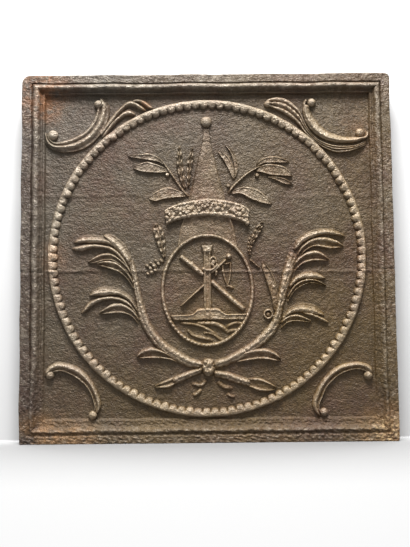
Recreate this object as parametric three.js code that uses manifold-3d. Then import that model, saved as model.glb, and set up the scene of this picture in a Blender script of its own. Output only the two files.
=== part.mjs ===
// Cast-iron fireback: a square plate with a moulded frame, a ring of pearls, corner scrolls and an
// oval medallion between two leafy branches, under an obelisk and a chaplet of roses.
// Millimetres. X runs across the plate, Z runs up, and the ornamented face looks towards -Y.
// The plate stands on its bottom edge, and the origin lies under the middle of its thickness.
// Every carving has a flat back and sits face to face on the plate or on the carving behind it.

import * as THREE from 'three';
import Module from 'manifold-3d';

const wasm = await Module();
wasm.setup();
const { Manifold, Mesh: SolidMesh } = wasm;

// ---- Plate ---------------------------------------------------------------------------------
const plateWidth = 600;
const plateHeight = 594;
const plateThickness = 16;
const backArris = 2;
const cornerRadius = { topLeft: 14, topRight: 9, bottomRight: 3, bottomLeft: 3 };

// ---- Frame: a flat rim, a groove, a bead, a small fillet and the step down to the ground ------
const frameWidth = { top: 34, bottom: 40, left: 40, right: 36 };
const rimHeight = 9;
const rimRound = 1.5;
const grooveDepth = 2;
const beadHeight = 12;
const filletHeight = 4;
const mitreGap = 0.3;

// ---- Gap between carvings that meet side by side --------------------------------------------
const carvingGap = 0.3;

// ---- Ring of pearls -------------------------------------------------------------------------
const ringMargin = { top: 10, bottom: 4, left: 3.5, right: 14.5 };
const ridgeWidth = 6;
const ridgeHeight = 5;
const ridgeSides = 84;
const pearlDiameter = 11;
const pearlHeight = 5;
const pearlPitch = 13;
const pearlBite = 1.2;

// ---- Relief of the carvings above the plate ---------------------------------------------------
const scrollHeight = 7;
const scrollBallHeight = 8;
const acanthusHeight = 6;
const obeliskHeight = 2.5;
const finialHeight = 8;
const chapletHeight = 5.5;
const roseHeight = 8.5;
const medallionRingHeight = 5;
const emblemHeight = 4.5;
const groundHeight = 3;
const stemHeight = 6;
const leafHeight = 5;
const knotHeight = 8;
const sprigHeight = 3.5;
const berryHeight = 4;

// ---- Widths across the carvings ---------------------------------------------------------------
const scrollWidth = 15;
const scrollBallDiameter = 16;
const lowerBallDiameter = 14;
const strandWidth = 9;
const finialDiameter = 18;
const chapletWidth = 26;
const chapletSpan = 132;
const chapletRise = 14;
const roseDiameter = 17;
const roseCount = 9;
const medallionRingWidth = 6.5;
const medallionWidth = 149;
const medallionHeight = 184;
const postWidth = 13;
const postCapWidth = 17;
const staffWidth = 8;
const bladeWidth = 6;
const gripWidth = 5;
const pommelDiameter = 9;
const pennantWidth = 13;
const collarDiameter = 12;
const stemWidth = 13;
const cutEndWidth = 13;
const frondWidth = 11;
const knotWidth = 24;
const knotLength = 28;
const ribbonWidth = 12;
const sprigStemWidth = 6;
const sprigLeafWidth = 12;
const earWidth = 20;
const berryDiameter = 8;

// ---- Sizes that follow -----------------------------------------------------------------------
const overallDepth = plateThickness + beadHeight;
const backPlane = overallDepth / 2;
const frontPlane = backPlane - plateThickness;
const fieldLeft = -plateWidth / 2 + frameWidth.left;
const fieldRight = plateWidth / 2 - frameWidth.right;
const fieldBottom = frameWidth.bottom;
const fieldTop = plateHeight - frameWidth.top;
const roomAcross = fieldRight - fieldLeft - ringMargin.left - ringMargin.right;
const roomUp = fieldTop - fieldBottom - ringMargin.top - ringMargin.bottom;
const ringRadius = Math.min(roomAcross, roomUp) / 2;
const ringShift = (fieldLeft + fieldRight + ringMargin.left - ringMargin.right) / 2;
const ringCentre = (fieldTop + fieldBottom + ringMargin.bottom - ringMargin.top) / 2;

// The ornament's places are drawn in thousandths of the ring's radius, so that the drawing keeps
// its composition inside the ring that the plate has room for.
const drawingUnit = ringRadius / 1000;
const drawn = ([x, z]) => new THREE.Vector2(x * drawingUnit, z * drawingUnit);

const ironGround = new THREE.MeshStandardMaterial({ color: 0x6a5e51, roughness: 0.72, metalness: 0.55 });
const ironRelief = new THREE.MeshStandardMaterial({ color: 0x857868, roughness: 0.58, metalness: 0.6 });

// ---- Cross-sections of the carvings: [share of the half width, share of the height] ------------
const roundSection = [[-1, 0], [-0.62, 0.8], [0, 1], [0.62, 0.8], [1, 0]];
const veinedSection = [[-1, 0], [-0.55, 0.95], [0, 0.62], [0.55, 0.95], [1, 0]];
const twinSection = [[-1, 0], [-0.72, 0.9], [-0.15, 0.55], [0.3, 1], [0.75, 0.7], [1, 0]];

// How far a cutting copy of a carving reaches below the face that the carving sits on.
const cutterDepth = 0.2;

// Closes a row of rings, each a list of corners, into one solid. The rings are joined in turn, and
// the first and last are capped by the flat outline `plan`, or joined to each other without one.
function skin(rings, plan) {
  const size = rings[0].length;
  const corners = rings.flat().flatMap((corner) => [corner.x, corner.y, corner.z]);
  const faces = [];
  const spans = plan ? rings.length - 1 : rings.length;
  for (let i = 0; i < spans; i += 1) {
    const here = i * size;
    const next = ((i + 1) % rings.length) * size;
    for (let j = 0; j < size; j += 1) {
      const k = (j + 1) % size;
      faces.push([here + j, next + j, next + k], [here + j, next + k, here + k]);
    }
  }
  if (plan) {
    const last = (rings.length - 1) * size;
    const clockwise = THREE.ShapeUtils.isClockWise(plan);
    for (const face of THREE.ShapeUtils.triangulateShape(plan, [])) {
      const [a, b, c] = clockwise ? face.reverse() : face;
      faces.push([a, b, c], [last + c, last + b, last + a]);
    }
  }
  return solidFrom(corners, faces);
}

// Six times the volume that a list of faces encloses, negative where they are inside out.
function enclosed(corners, faces) {
  const at = (i) => new THREE.Vector3(corners[3 * i], corners[3 * i + 1], corners[3 * i + 2]);
  return faces.reduce((sum, [a, b, c]) => sum + at(a).dot(at(b).cross(at(c))), 0);
}

function solidFrom(corners, faces) {
  const outward = enclosed(corners, faces) > 0 ? faces : faces.map(([a, b, c]) => [a, c, b]);
  const mesh = new SolidMesh({
    numProp: 3,
    vertProperties: new Float32Array(corners),
    triVerts: new Uint32Array(outward.flat()),
  });
  return new Manifold(mesh);
}

function meshOf(name, solid, material) {
  const { vertProperties, triVerts } = solid.getMesh();
  const geometry = new THREE.BufferGeometry();
  geometry.setAttribute('position', new THREE.BufferAttribute(vertProperties, 3));
  geometry.setIndex(new THREE.BufferAttribute(triVerts, 1));
  const mesh = new THREE.Mesh(geometry, material);
  mesh.name = name;
  return mesh;
}

// ---- Shapes that carvings are made of. Each takes `grow`, by which it is made larger all round
// ---- when it serves to cut back a neighbour instead of being a carving itself. -------------------

// A band carried along a line of points on the plate. `width` is its full width and `height` its
// relief, and `swell` gives the share of both at each place from 0 at the root to 1 at the tip.
function band(line, width, height, options = {}, grow = 0) {
  const { section = roundSection, steps = 10, swell = () => [1, 1] } = options;
  const curve = new THREE.SplineCurve(line);
  const rings = [];
  for (let i = 0; i <= steps; i += 1) {
    const along = i / steps;
    const [wide, high] = swell(along);
    const heading = curve.getTangentAt(along);
    const reach = (i === steps ? grow : 0) - (i === 0 ? grow : 0);
    const centre = curve.getPointAt(along).addScaledVector(heading, reach);
    rings.push(section.map(([across, lift]) => {
      const side = across * (width * wide / 2 + 2 * grow);
      const out = lift > 0 ? lift * height * high + grow : -Math.sign(grow) * cutterDepth;
      return new THREE.Vector3(centre.x - heading.y * side, -out, centre.y + heading.x * side);
    }));
  }
  return skin(rings, section.map(([across, lift]) => new THREE.Vector2(across, lift)));
}

// A leaf: narrow at its root, widest past the middle and pointed at its tip.
function leafSwell(along) {
  const outline = Math.sin(Math.PI * (0.14 + 0.83 * along)) ** 0.75;
  return [outline, 1 - 0.5 * along * along];
}

function leaf(line, width, height, grow) {
  const options = { section: veinedSection, steps: 6, swell: leafSwell };
  return band(line.map(drawn), width, height, options, grow);
}

// A strand or stem that thins from its root to a blunt point.
const strandSwell = (along) => [1 - 0.75 * along ** 3, 1 - 0.5 * along ** 3];

function strand(line, width, height, grow) {
  return band(line.map(drawn), width, height, { steps: 8, swell: strandSwell }, grow);
}

// A low dome. A lobed one swings in and out round its edge, as the petals of a rose do.
function dome(centre, diameter, height, options = {}, grow = 0) {
  const { sides = 12, lobes = 0, lobing = 0, levels = [[1, 0], [0.8, 0.62], [0.4, 1]] } = options;
  const radius = diameter / 2 + grow;
  const foot = Math.sign(grow) * cutterDepth;
  const rings = levels.map(([share, lift]) => Array.from({ length: sides }, (_, i) => {
    const angle = (2 * Math.PI * i) / sides;
    const reach = radius * share * (1 + lobing * Math.cos(lobes * angle));
    const out = lift > 0 ? lift * height + grow : -foot;
    const [x, z] = [centre.x + reach * Math.cos(angle), centre.y + reach * Math.sin(angle)];
    return new THREE.Vector3(x, -out, z);
  }));
  return skin(rings, rings[0].map((corner) => new THREE.Vector2(corner.x, corner.z)));
}

// A closed oval band round a centre given in millimetres on the plate.
function ovalBand(centre, halfWidth, halfHeight, width, height, sides, grow = 0) {
  const rings = Array.from({ length: sides }, (_, i) => {
    const angle = (2 * Math.PI * i) / sides;
    return roundSection.map(([across, lift]) => {
      const side = across * (width / 2 + 2 * grow);
      const out = lift > 0 ? lift * height + grow : -Math.sign(grow) * cutterDepth;
      const x = centre.x + (halfWidth + side) * Math.cos(angle);
      const z = centre.y + (halfHeight + side) * Math.sin(angle);
      return new THREE.Vector3(x, -out, z);
    });
  });
  return skin(rings);
}

// A flat slab of the given outline, a list of corners on the plate.
function slab(outline, height, grow = 0) {
  const foot = Math.sign(grow) * cutterDepth;
  const levels = [foot, -height];
  const rings = levels.map((y) => outline.map((corner) => new THREE.Vector3(corner.x, y, corner.y)));
  return skin(rings, outline);
}

// ---- Placing ---------------------------------------------------------------------------------

const fireback = new THREE.Group();

// A patch of ornament with its own origin on the plate's face. What is placed first stays whole,
// and each later carving is cut back to the carving gap where it meets those before it. Whatever
// a neighbour cuts off on its far side is waste, so the largest piece that is left is the carving.
class Patch {
  constructor(x, z) {
    this.group = new THREE.Group();
    this.group.position.set(x, frontPlane, z);
    fireback.add(this.group);
    this.cutters = [];
  }

  place(name, shape) {
    let solid = shape(0);
    for (const cutter of this.cutters) {
      solid = solid.subtract(cutter);
    }
    const pieces = solid.decompose().sort((a, b) => b.volume() - a.volume());
    this.cutters.push(shape(carvingGap));
    this.group.add(meshOf(name, pieces[0], ironRelief));
  }
}

const together = (...solids) => Manifold.union(solids);

// ---- Plate -----------------------------------------------------------------------------------

// The plate's outline with its four rounded corners, drawn `inset` inside the edge.
function plateOutline(inset = 0) {
  const right = plateWidth / 2 - inset;
  const top = plateHeight - inset;
  const round = (radius) => Math.max(radius - inset, 0.5);
  const corners = [
    { x: right, z: inset, radius: round(cornerRadius.bottomRight), start: -Math.PI / 2, inX: -1, inZ: 1 },
    { x: right, z: top, radius: round(cornerRadius.topRight), start: 0, inX: -1, inZ: -1 },
    { x: -right, z: top, radius: round(cornerRadius.topLeft), start: Math.PI / 2, inX: 1, inZ: -1 },
    { x: -right, z: inset, radius: round(cornerRadius.bottomLeft), start: Math.PI, inX: 1, inZ: 1 },
  ];
  const outline = new THREE.Shape();
  for (const { x, z, radius, start, inX, inZ } of corners) {
    outline.absarc(x + inX * radius, z + inZ * radius, radius, start, start + Math.PI / 2, false);
  }
  return outline.getPoints(6).slice(0, -1);
}

function backPlate() {
  const levels = [[frontPlane, 0], [backPlane - backArris, 0], [backPlane, backArris]];
  const rings = levels.map(([y, inset]) => (
    plateOutline(inset).map((corner) => new THREE.Vector3(corner.x, y, corner.y))));
  return skin(rings, plateOutline());
}

fireback.add(meshOf('back_plate', backPlate(), ironGround));

// ---- Frame -----------------------------------------------------------------------------------

// The moulding's profile: [share of the frame's width from the outer edge, height over the ground].
const frameProfile = [
  [0, 0],
  [0, rimHeight - rimRound],
  [0.05, rimHeight],
  [0.41, rimHeight],
  [0.44, rimHeight - grooveDepth],
  [0.48, rimHeight],
  [0.53, 0.8 * beadHeight + 0.2 * rimHeight],
  [0.58, beadHeight],
  [0.64, 0.8 * beadHeight + 0.2 * filletHeight],
  [0.7, (beadHeight + filletHeight) / 2],
  [0.76, 0.75 * filletHeight],
  [0.81, filletHeight],
  [0.88, filletHeight],
  [0.94, filletHeight / 3],
  [1, 0],
];

const outerCorner = {
  topLeft: new THREE.Vector2(-plateWidth / 2, plateHeight),
  topRight: new THREE.Vector2(plateWidth / 2, plateHeight),
  bottomRight: new THREE.Vector2(plateWidth / 2, 0),
  bottomLeft: new THREE.Vector2(-plateWidth / 2, 0),
};
const fieldCorner = {
  topLeft: new THREE.Vector2(fieldLeft, fieldTop),
  topRight: new THREE.Vector2(fieldRight, fieldTop),
  bottomRight: new THREE.Vector2(fieldRight, fieldBottom),
  bottomLeft: new THREE.Vector2(fieldLeft, fieldBottom),
};

// One side of the frame runs from one mitre to the next. Each line of the profile ends on the
// mitre, from the plate's corner to the field's, drawn back by half the gap at the joint.
function frameSide(from, to) {
  const heading = outerCorner[to].clone().sub(outerCorner[from]).normalize();
  const ends = [[from, mitreGap / Math.SQRT2], [to, -mitreGap / Math.SQRT2]];
  const rings = ends.map(([corner, back]) => frameProfile.map(([share, height]) => {
    const place = outerCorner[corner].clone().lerp(fieldCorner[corner], share);
    place.addScaledVector(heading, back);
    return new THREE.Vector3(place.x, frontPlane - height, place.y);
  }));
  const plan = frameProfile.map(([share, out]) => new THREE.Vector2(share * frameWidth.top, out));
  return skin(rings, plan);
}

// The rounded corners of the plate go through the frame as well.
const through = [frontPlane + 1, frontPlane - 2 * beadHeight];
const roundedPrism = skin(
  through.map((y) => plateOutline().map((corner) => new THREE.Vector3(corner.x, y, corner.y))),
  plateOutline(),
);
const frameSides = [
  ['frame_top', 'topLeft', 'topRight'],
  ['frame_right', 'topRight', 'bottomRight'],
  ['frame_bottom', 'bottomRight', 'bottomLeft'],
  ['frame_left', 'bottomLeft', 'topLeft'],
];
for (const [name, from, to] of frameSides) {
  fireback.add(meshOf(name, frameSide(from, to).intersect(roundedPrism), ironGround));
}

// ---- Ring of pearls ----------------------------------------------------------------------------

const ringPatch = new Patch(0, ringCentre);
const ridgeRadius = ringRadius - ridgeWidth / 2;
const pearlRadius = ringRadius - ridgeWidth + pearlBite - pearlDiameter / 2;
const pearlCount = Math.round((2 * Math.PI * pearlRadius) / pearlPitch);

const pearlShape = { sides: 6, levels: [[1, 0], [0.6, 1]] };

function pearlRing() {
  const middle = new THREE.Vector2(ringShift, 0);
  const ridge = ovalBand(middle, ridgeRadius, ridgeRadius, ridgeWidth, ridgeHeight, ridgeSides);
  const pearls = Array.from({ length: pearlCount }, (_, i) => {
    const angle = (2 * Math.PI * i) / pearlCount;
    const x = ringShift + pearlRadius * Math.cos(angle);
    const z = pearlRadius * Math.sin(angle);
    return dome(new THREE.Vector2(x, z), pearlDiameter, pearlHeight, pearlShape);
  });
  return Manifold.union([ridge, ...pearls]);
}

ringPatch.group.add(meshOf('pearl_ring', pearlRing(), ironRelief));

// ---- Corner scrolls ------------------------------------------------------------------------------

const ballShape = { sides: 14 };

// A scroll is a two-ridged band between two balls. It is drawn from the corner of the field.
function scroll(line, balls, width, ballDiameter, grow) {
  const swell = (along) => [0.75 + along * (1 - along), 1];
  const arm = band(line.map(drawn), width, scrollHeight, { section: twinSection, steps: 14, swell }, grow);
  const ends = balls.map((ball) => dome(drawn(ball), ballDiameter, scrollBallHeight, ballShape, grow));
  return together(arm, ...ends);
}

// The acanthus sprays that spring from the two upper scrolls are bundles of strands.
const acanthusStrand = (line, grow) => strand(line, strandWidth, acanthusHeight, grow);

const topLeft = new Patch(fieldLeft, fieldTop);
topLeft.place('scroll_top_left', (grow) => scroll(
  [[395, -63], [387, -119], [364, -198], [316, -269], [241, -320], [162, -344], [79, -332], [24, -308]],
  [[368, -36], [47, -261]],
  scrollWidth,
  scrollBallDiameter,
  grow,
));
topLeft.place('acanthus_top_left', (grow) => together(
  acanthusStrand([[320, -269], [423, -130], [490, -59], [549, -32], [613, -40], [676, -67]], grow),
  acanthusStrand([[427, -142], [498, -99], [569, -75], [628, -87]], grow),
  acanthusStrand([[419, -166], [482, -130], [530, -115], [577, -115]], grow),
));

const topRight = new Patch(fieldRight, fieldTop);
topRight.place('scroll_top_right', (grow) => scroll(
  [[-391, -83], [-368, -162], [-320, -221], [-257, -273], [-174, -300], [-103, -300], [-32, -285]],
  [[-360, -55], [-47, -253]],
  scrollWidth,
  scrollBallDiameter,
  grow,
));
topRight.place('acanthus_top_right', (grow) => together(
  acanthusStrand([[-47, -320], [-166, -348], [-277, -328], [-372, -261], [-431, -170], [-478, -79],
    [-545, -28], [-613, -32], [-664, -55]], grow),
  acanthusStrand([[-411, -213], [-466, -130], [-530, -95], [-617, -83]], grow),
));

const bottomLeft = new Patch(fieldLeft, fieldBottom);
bottomLeft.place('scroll_bottom_left', (grow) => scroll(
  [[24, 308], [87, 332], [174, 316], [245, 269], [304, 202], [340, 134], [348, 79], [332, 43]],
  [[36, 273], [304, 36]],
  strandWidth,
  lowerBallDiameter,
  grow,
));

const bottomRight = new Patch(fieldRight, fieldBottom);
bottomRight.place('scroll_bottom_right', (grow) => scroll(
  [[-24, 300], [-111, 324], [-194, 304], [-277, 249], [-332, 186], [-364, 119], [-372, 71], [-352, 43]],
  [[-36, 257], [-328, 40]],
  strandWidth,
  lowerBallDiameter,
  grow,
));

// ---- Medallion, obelisk and chaplet ----------------------------------------------------------------

const ornament = new Patch(0, ringCentre);
const medallionCentre = drawn([0, -225]);
const ovalHalfWidth = (medallionWidth - medallionRingWidth) / 2;
const ovalHalfHeight = (medallionHeight - medallionRingWidth) / 2;

// The obelisk stands behind the chaplet and the medallion: half its face, from the point down to
// the plinth. Its foot follows the middle of the medallion's ring, out to the plinth's reach.
const obeliskSide = [[15, 810], [26, 735], [123, 340], [170, 221]];
const plinthReach = drawn([194, 0]).x;

function obelisk(grow) {
  const rightSide = obeliskSide.map(drawn);
  rightSide.forEach((corner) => corner.setX(corner.x + grow));
  rightSide[0].y += grow;
  const start = Math.asin(Math.min((plinthReach + grow) / ovalHalfWidth, 0.95));
  const lower = Array.from({ length: 7 }, (_, i) => {
    const angle = start * (1 - i / 3);
    const x = medallionCentre.x + ovalHalfWidth * Math.sin(angle);
    return new THREE.Vector2(x, medallionCentre.y + ovalHalfHeight * Math.cos(angle) - grow);
  });
  const leftSide = rightSide.map((corner) => new THREE.Vector2(-corner.x, corner.y)).reverse();
  return slab([...rightSide, ...lower, ...leftSide], obeliskHeight, grow);
}

const medallionSides = 48;

function medallionRing(grow) {
  const [halfWidth, halfHeight] = [ovalHalfWidth, ovalHalfHeight];
  const [width, height] = [medallionRingWidth, medallionRingHeight];
  return ovalBand(medallionCentre, halfWidth, halfHeight, width, height, medallionSides, grow);
}

// The chaplet is a shallow arc of the given span and rise, with roses set along it.
const chapletTop = drawn([0, 304]).y;
const chapletRadius = ((chapletSpan / 2) ** 2 + chapletRise ** 2) / (2 * chapletRise);

function onChaplet(share) {
  const angle = share * Math.asin(chapletSpan / 2 / chapletRadius);
  const fall = chapletRadius * (1 - Math.cos(angle));
  return new THREE.Vector2(chapletRadius * Math.sin(angle), chapletTop - fall);
}

const roseShape = { sides: 15, lobes: 5, lobing: 0.12 };
const roseSpread = 0.95;

function chaplet(grow) {
  const line = [-1, -0.5, 0, 0.5, 1].map(onChaplet);
  const roses = Array.from({ length: roseCount }, (_, i) => {
    const share = (2 * i) / (roseCount - 1) - 1;
    return dome(onChaplet(roseSpread * share), roseDiameter, roseHeight, roseShape, grow);
  });
  return together(band(line, chapletWidth, chapletHeight, { steps: 8 }, grow), ...roses);
}

ornament.place('obelisk', obelisk);
ornament.place('medallion_ring', medallionRing);
ornament.place('rose_chaplet', chaplet);
ornament.place('finial_ball', (grow) => (
  dome(drawn([0, 866]), finialDiameter, finialHeight, { sides: 18 }, grow)));

// ---- Emblem in the medallion: a post bound with a cord, a staff and a sword crossed behind it ----

const grooved = { section: veinedSection, steps: 4 };

ornament.place('emblem_post', (grow) => together(
  band([[0, 24], [0, -158], [0, -340]].map(drawn), postWidth, emblemHeight, grooved, grow),
  band([[-2, 55], [-2, 36], [-2, 16]].map(drawn), postCapWidth, emblemHeight, { steps: 2 }, grow),
));
ornament.place('emblem_ground', (grow) => slab(
  [[-225, -387], [-142, -383], [-95, -375], [-67, -348], [67, -344], [91, -360], [119, -379],
    [245, -379], [221, -411], [-206, -411]].map(drawn),
  groundHeight + grow,
  grow,
));
ornament.place('post_cord', (grow) => together(
  strand([[32, -32], [51, -12], [75, -32], [47, -55]], gripWidth, emblemHeight, grow),
  dome(drawn([43, -55]), pommelDiameter, emblemHeight, {}, grow),
));
ornament.place('staff_head', (grow) => together(
  band([[-170, -8], [-95, -67], [-16, -134]].map(drawn), staffWidth, emblemHeight, grooved, grow),
  dome(drawn([-91, -71]), collarDiameter, emblemHeight, { sides: 10 }, grow),
));
ornament.place('staff_foot', (grow) => (
  band([[16, -162], [119, -253], [225, -344]].map(drawn), staffWidth, emblemHeight, grooved, grow)));
ornament.place('sword_blade', (grow) => (
  strand([[-16, -186], [-95, -253], [-170, -320]], bladeWidth, emblemHeight, grow)));
ornament.place('sword_hilt', (grow) => together(
  band([[16, -123], [67, -71], [123, -24]].map(drawn), gripWidth, emblemHeight, { steps: 3 }, grow),
  dome(drawn([134, -16]), pommelDiameter, emblemHeight, {}, grow),
));
ornament.place('pennant', (grow) => (
  leaf([[67, -103], [95, -126], [130, -182]], pennantWidth, groundHeight, grow)));

// ---- Branches -----------------------------------------------------------------------------------

// The knot binds both stems and both cut ends. It is upright, and swells at its middle.
const knotCentre = drawn([0, -704]);
const knotLine = [0.5, 0, -0.5].map((share) => (
  new THREE.Vector2(knotCentre.x, knotCentre.y + share * knotLength)));

function knotSwell(along) {
  const belly = along * (1 - along);
  return [0.6 + 1.6 * belly, 0.7 + 1.2 * belly];
}

ornament.place('branch_knot', (grow) => (
  band(knotLine, knotWidth, knotHeight, { section: veinedSection, steps: 6, swell: knotSwell }, grow)));

// Each branch thins towards its top, and each cut end widens towards the cut.
const stemSwell = (along) => [1 - 0.35 * along, 1 - 0.2 * along];
const cutEndSwell = (along) => [0.75 + 0.25 * along, 1];
const stemShape = { section: twinSection, steps: 14, swell: stemSwell };
const cutEndShape = { section: twinSection, steps: 7, swell: cutEndSwell };

ornament.place('left_branch_stem', (grow) => band(
  [[-32, -684], [-166, -648], [-292, -581], [-379, -470], [-427, -316], [-451, -178],
    [-490, -24]].map(drawn),
  stemWidth,
  stemHeight,
  stemShape,
  grow,
));
ornament.place('right_branch_stem', (grow) => band(
  [[32, -696], [158, -636], [285, -557], [395, -462], [435, -348], [462, -178], [498, -55],
    [553, 63]].map(drawn),
  stemWidth,
  stemHeight,
  stemShape,
  grow,
));
ornament.place('left_cut_end', (grow) => band(
  [[-32, -715], [-111, -735], [-182, -763], [-261, -806]].map(drawn),
  cutEndWidth,
  stemHeight,
  cutEndShape,
  grow,
));
ornament.place('right_cut_end', (grow) => band(
  [[32, -731], [142, -767], [237, -798], [308, -806], [375, -814]].map(drawn),
  cutEndWidth,
  stemHeight,
  cutEndShape,
  grow,
));
ornament.place('left_ribbon_end', (grow) => (
  leaf([[-40, -791], [-71, -830], [-95, -877]], ribbonWidth, sprigHeight, grow)));
ornament.place('right_ribbon_end', (grow) => (
  leaf([[71, -814], [111, -854], [158, -885]], ribbonWidth, sprigHeight, grow)));

// The fronds, from the top of each branch down: [line from root to tip, full width]. The lowest
// ones lie in front of the stems of the cut ends.
const leftFronds = [
  [[[-490, -32], [-542, 40], [-621, 91], [-711, 111], [-818, 107]], 1.05],
  [[[-470, -95], [-526, 0], [-593, 47], [-704, 67], [-850, 43]], 0.75],
  [[[-447, -182], [-502, -91], [-565, -28], [-660, -4], [-763, -43]], 1.25],
  [[[-431, -332], [-498, -273], [-577, -225], [-664, -213], [-747, -245]], 0.9],
  [[[-419, -383], [-502, -312], [-601, -277], [-711, -296], [-794, -360]], 0.9],
  [[[-403, -443], [-451, -387], [-518, -344], [-593, -332], [-676, -360]], 1.05],
  [[[-269, -601], [-332, -585], [-387, -585], [-447, -632]], 0.75],
];
const rightFronds = [
  [[[542, 47], [617, 107], [680, 142], [775, 150], [874, 126]], 0.75],
  [[[522, -8], [585, 51], [664, 91], [775, 99], [866, 47]], 0.75],
  [[[498, -71], [565, -32], [632, -4], [704, 4], [771, -40]], 1.1],
  [[[458, -213], [518, -170], [589, -130], [664, -123], [747, -150]], 0.8],
  [[[451, -269], [518, -225], [593, -178], [680, -170], [755, -202]], 0.75],
  [[[439, -395], [502, -360], [577, -332], [664, -332], [743, -383]], 0.8],
  [[[427, -443], [506, -407], [565, -391], [609, -395], [656, -431]], 0.7],
  [[[530, -364], [617, -383], [688, -403], [759, -435]], 0.6],
  [[[198, -632], [277, -621], [348, -617], [403, -628], [458, -672]], 1.1],
  [[[427, -324], [419, -229], [395, -158], [348, -55]], 0.85],
];
const branches = [['left', leftFronds], ['right', rightFronds]];
for (const [side, fronds] of branches) {
  fronds.forEach(([line, share], i) => {
    ornament.place(`${side}_frond_${i + 1}`, (grow) => leaf(line, frondWidth * share, leafHeight, grow));
  });
}
ornament.place('right_branch_berry', (grow) => (
  dome(drawn([379, -383]), berryDiameter, berryHeight, {}, grow)));

// ---- Sprigs above the chaplet and beside the medallion ---------------------------------------------

const sprigStem = (line, grow) => strand(line, sprigStemWidth, sprigHeight, grow);
const sprigLeaf = (line, share, grow) => leaf(line, sprigLeafWidth * share, sprigHeight, grow);
const berry = (place, grow) => dome(drawn(place), berryDiameter, berryHeight, { sides: 8 }, grow);

ornament.place('upper_left_sprig', (grow) => together(
  sprigStem([[-119, 372], [-154, 419], [-198, 490], [-233, 542], [-261, 589], [-292, 628]], grow),
  sprigLeaf([[-277, 613], [-344, 644], [-407, 652], [-510, 644]], 0.95, grow),
  sprigLeaf([[-241, 549], [-324, 573], [-395, 577], [-470, 573]], 1.2, grow),
  sprigLeaf([[-138, 399], [-217, 411], [-292, 407], [-372, 364]], 1.3, grow),
  sprigLeaf([[-158, 435], [-166, 514], [-174, 601], [-178, 708]], 0.9, grow),
  sprigLeaf([[-166, 447], [-126, 522], [-103, 601], [-87, 692]], 0.9, grow),
  berry([-249, 522], grow),
));
ornament.place('upper_right_sprig', (grow) => together(
  sprigStem([[130, 364], [158, 415], [202, 470], [249, 514], [300, 545], [352, 577]], grow),
  sprigLeaf([[312, 557], [375, 601], [443, 617], [530, 601]], 0.95, grow),
  sprigLeaf([[300, 549], [395, 553], [474, 545], [553, 506]], 1.2, grow),
  sprigLeaf([[277, 534], [372, 506], [458, 482], [557, 455]], 0.7, grow),
  sprigLeaf([[154, 411], [237, 411], [308, 391], [403, 324]], 1.3, grow),
  sprigLeaf([[170, 427], [146, 522], [119, 593], [75, 668]], 1, grow),
  sprigLeaf([[178, 439], [174, 545], [158, 617], [123, 704]], 0.8, grow),
  berry([241, 482], grow),
));
ornament.place('left_ear', (grow) => together(
  leaf([[-281, -24], [-304, 47], [-316, 119], [-328, 198]], earWidth, sprigHeight, grow),
  sprigStem([[-277, -32], [-316, -55], [-379, -87]], grow),
  berry([-375, -87], grow),
));
ornament.place('right_ear', (grow) => together(
  leaf([[281, -24], [304, 47], [324, 119], [352, 213]], earWidth, sprigHeight, grow),
  sprigStem([[281, -40], [308, -63], [348, -87]], grow),
));

export default fireback;
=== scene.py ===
# A cast-iron fireback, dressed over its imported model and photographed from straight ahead.
# The real plate is one casting: a flat ground inside a moulded frame, with carved ornament in low
# relief. Sizes and places below are in millimetres, x across from the plate's centre line and z up
# from its lower edge; a mesh is written in metres, which is what Blender and the frame use.
import math

import bpy
import numpy as np
from mathutils import Matrix, Vector


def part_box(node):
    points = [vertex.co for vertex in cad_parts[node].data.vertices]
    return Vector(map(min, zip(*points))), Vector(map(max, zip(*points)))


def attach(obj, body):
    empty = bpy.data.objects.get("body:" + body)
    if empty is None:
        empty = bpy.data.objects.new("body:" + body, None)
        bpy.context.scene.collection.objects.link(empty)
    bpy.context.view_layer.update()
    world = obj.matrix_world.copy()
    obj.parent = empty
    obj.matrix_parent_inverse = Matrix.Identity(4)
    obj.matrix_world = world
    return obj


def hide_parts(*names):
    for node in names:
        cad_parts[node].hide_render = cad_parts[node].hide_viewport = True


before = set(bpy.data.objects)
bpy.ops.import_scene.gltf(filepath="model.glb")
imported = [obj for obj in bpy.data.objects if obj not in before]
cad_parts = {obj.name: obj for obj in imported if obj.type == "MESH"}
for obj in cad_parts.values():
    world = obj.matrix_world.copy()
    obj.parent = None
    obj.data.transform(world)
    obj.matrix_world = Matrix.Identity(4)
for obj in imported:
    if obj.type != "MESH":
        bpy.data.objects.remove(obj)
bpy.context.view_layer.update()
bpy.context.scene.view_settings.view_transform = "Standard"
METRE = 1000.0

# ---- Back plate ----------------------------------------------------------------------------------
# The ground of the fireback, sand-cast iron about 16 mm thick. Its face keeps the print of the
# boards that the mould's pattern was built up from, a few casting flaws and the sand's grain.

plate_low, plate_high = (np.array(corner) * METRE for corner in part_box("back_plate"))
HALF_WIDTH = plate_high[0]
PLATE_HEIGHT = plate_high[2]
FACE = plate_low[1]
BACK = plate_high[1]
BACK_ARRIS, BACK_UNEVENNESS = 2.0, 0.25
CORNER_RADIUS = {(-1, 1): 14.0, (1, 1): 9.0, (1, -1): 3.0, (-1, -1): 3.0}


def waves(x, z, shortest, longest, seed, count=28):
    """Unevenness of spread one: the sum of `count` plane waves of random heading, phase and length,
    the lengths lying between `shortest` and `longest`."""
    draw = np.random.default_rng(seed)
    heading = draw.uniform(0, 2 * np.pi, count)
    number = 2 * np.pi / np.exp(draw.uniform(np.log(shortest), np.log(longest), count))
    phase = draw.uniform(0, 2 * np.pi, count)
    total = np.zeros(np.broadcast(x, z).shape)
    for k in range(count):
        total += np.cos(number[k] * (x * np.cos(heading[k]) + z * np.sin(heading[k])) + phase[k])
    return total / np.sqrt(count / 2)


def step(value):
    """A smooth step from 0 to 1 while `value` goes from 0 to 1."""
    share = np.clip(value, 0, 1)
    return share * share * (3 - 2 * share)


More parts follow.
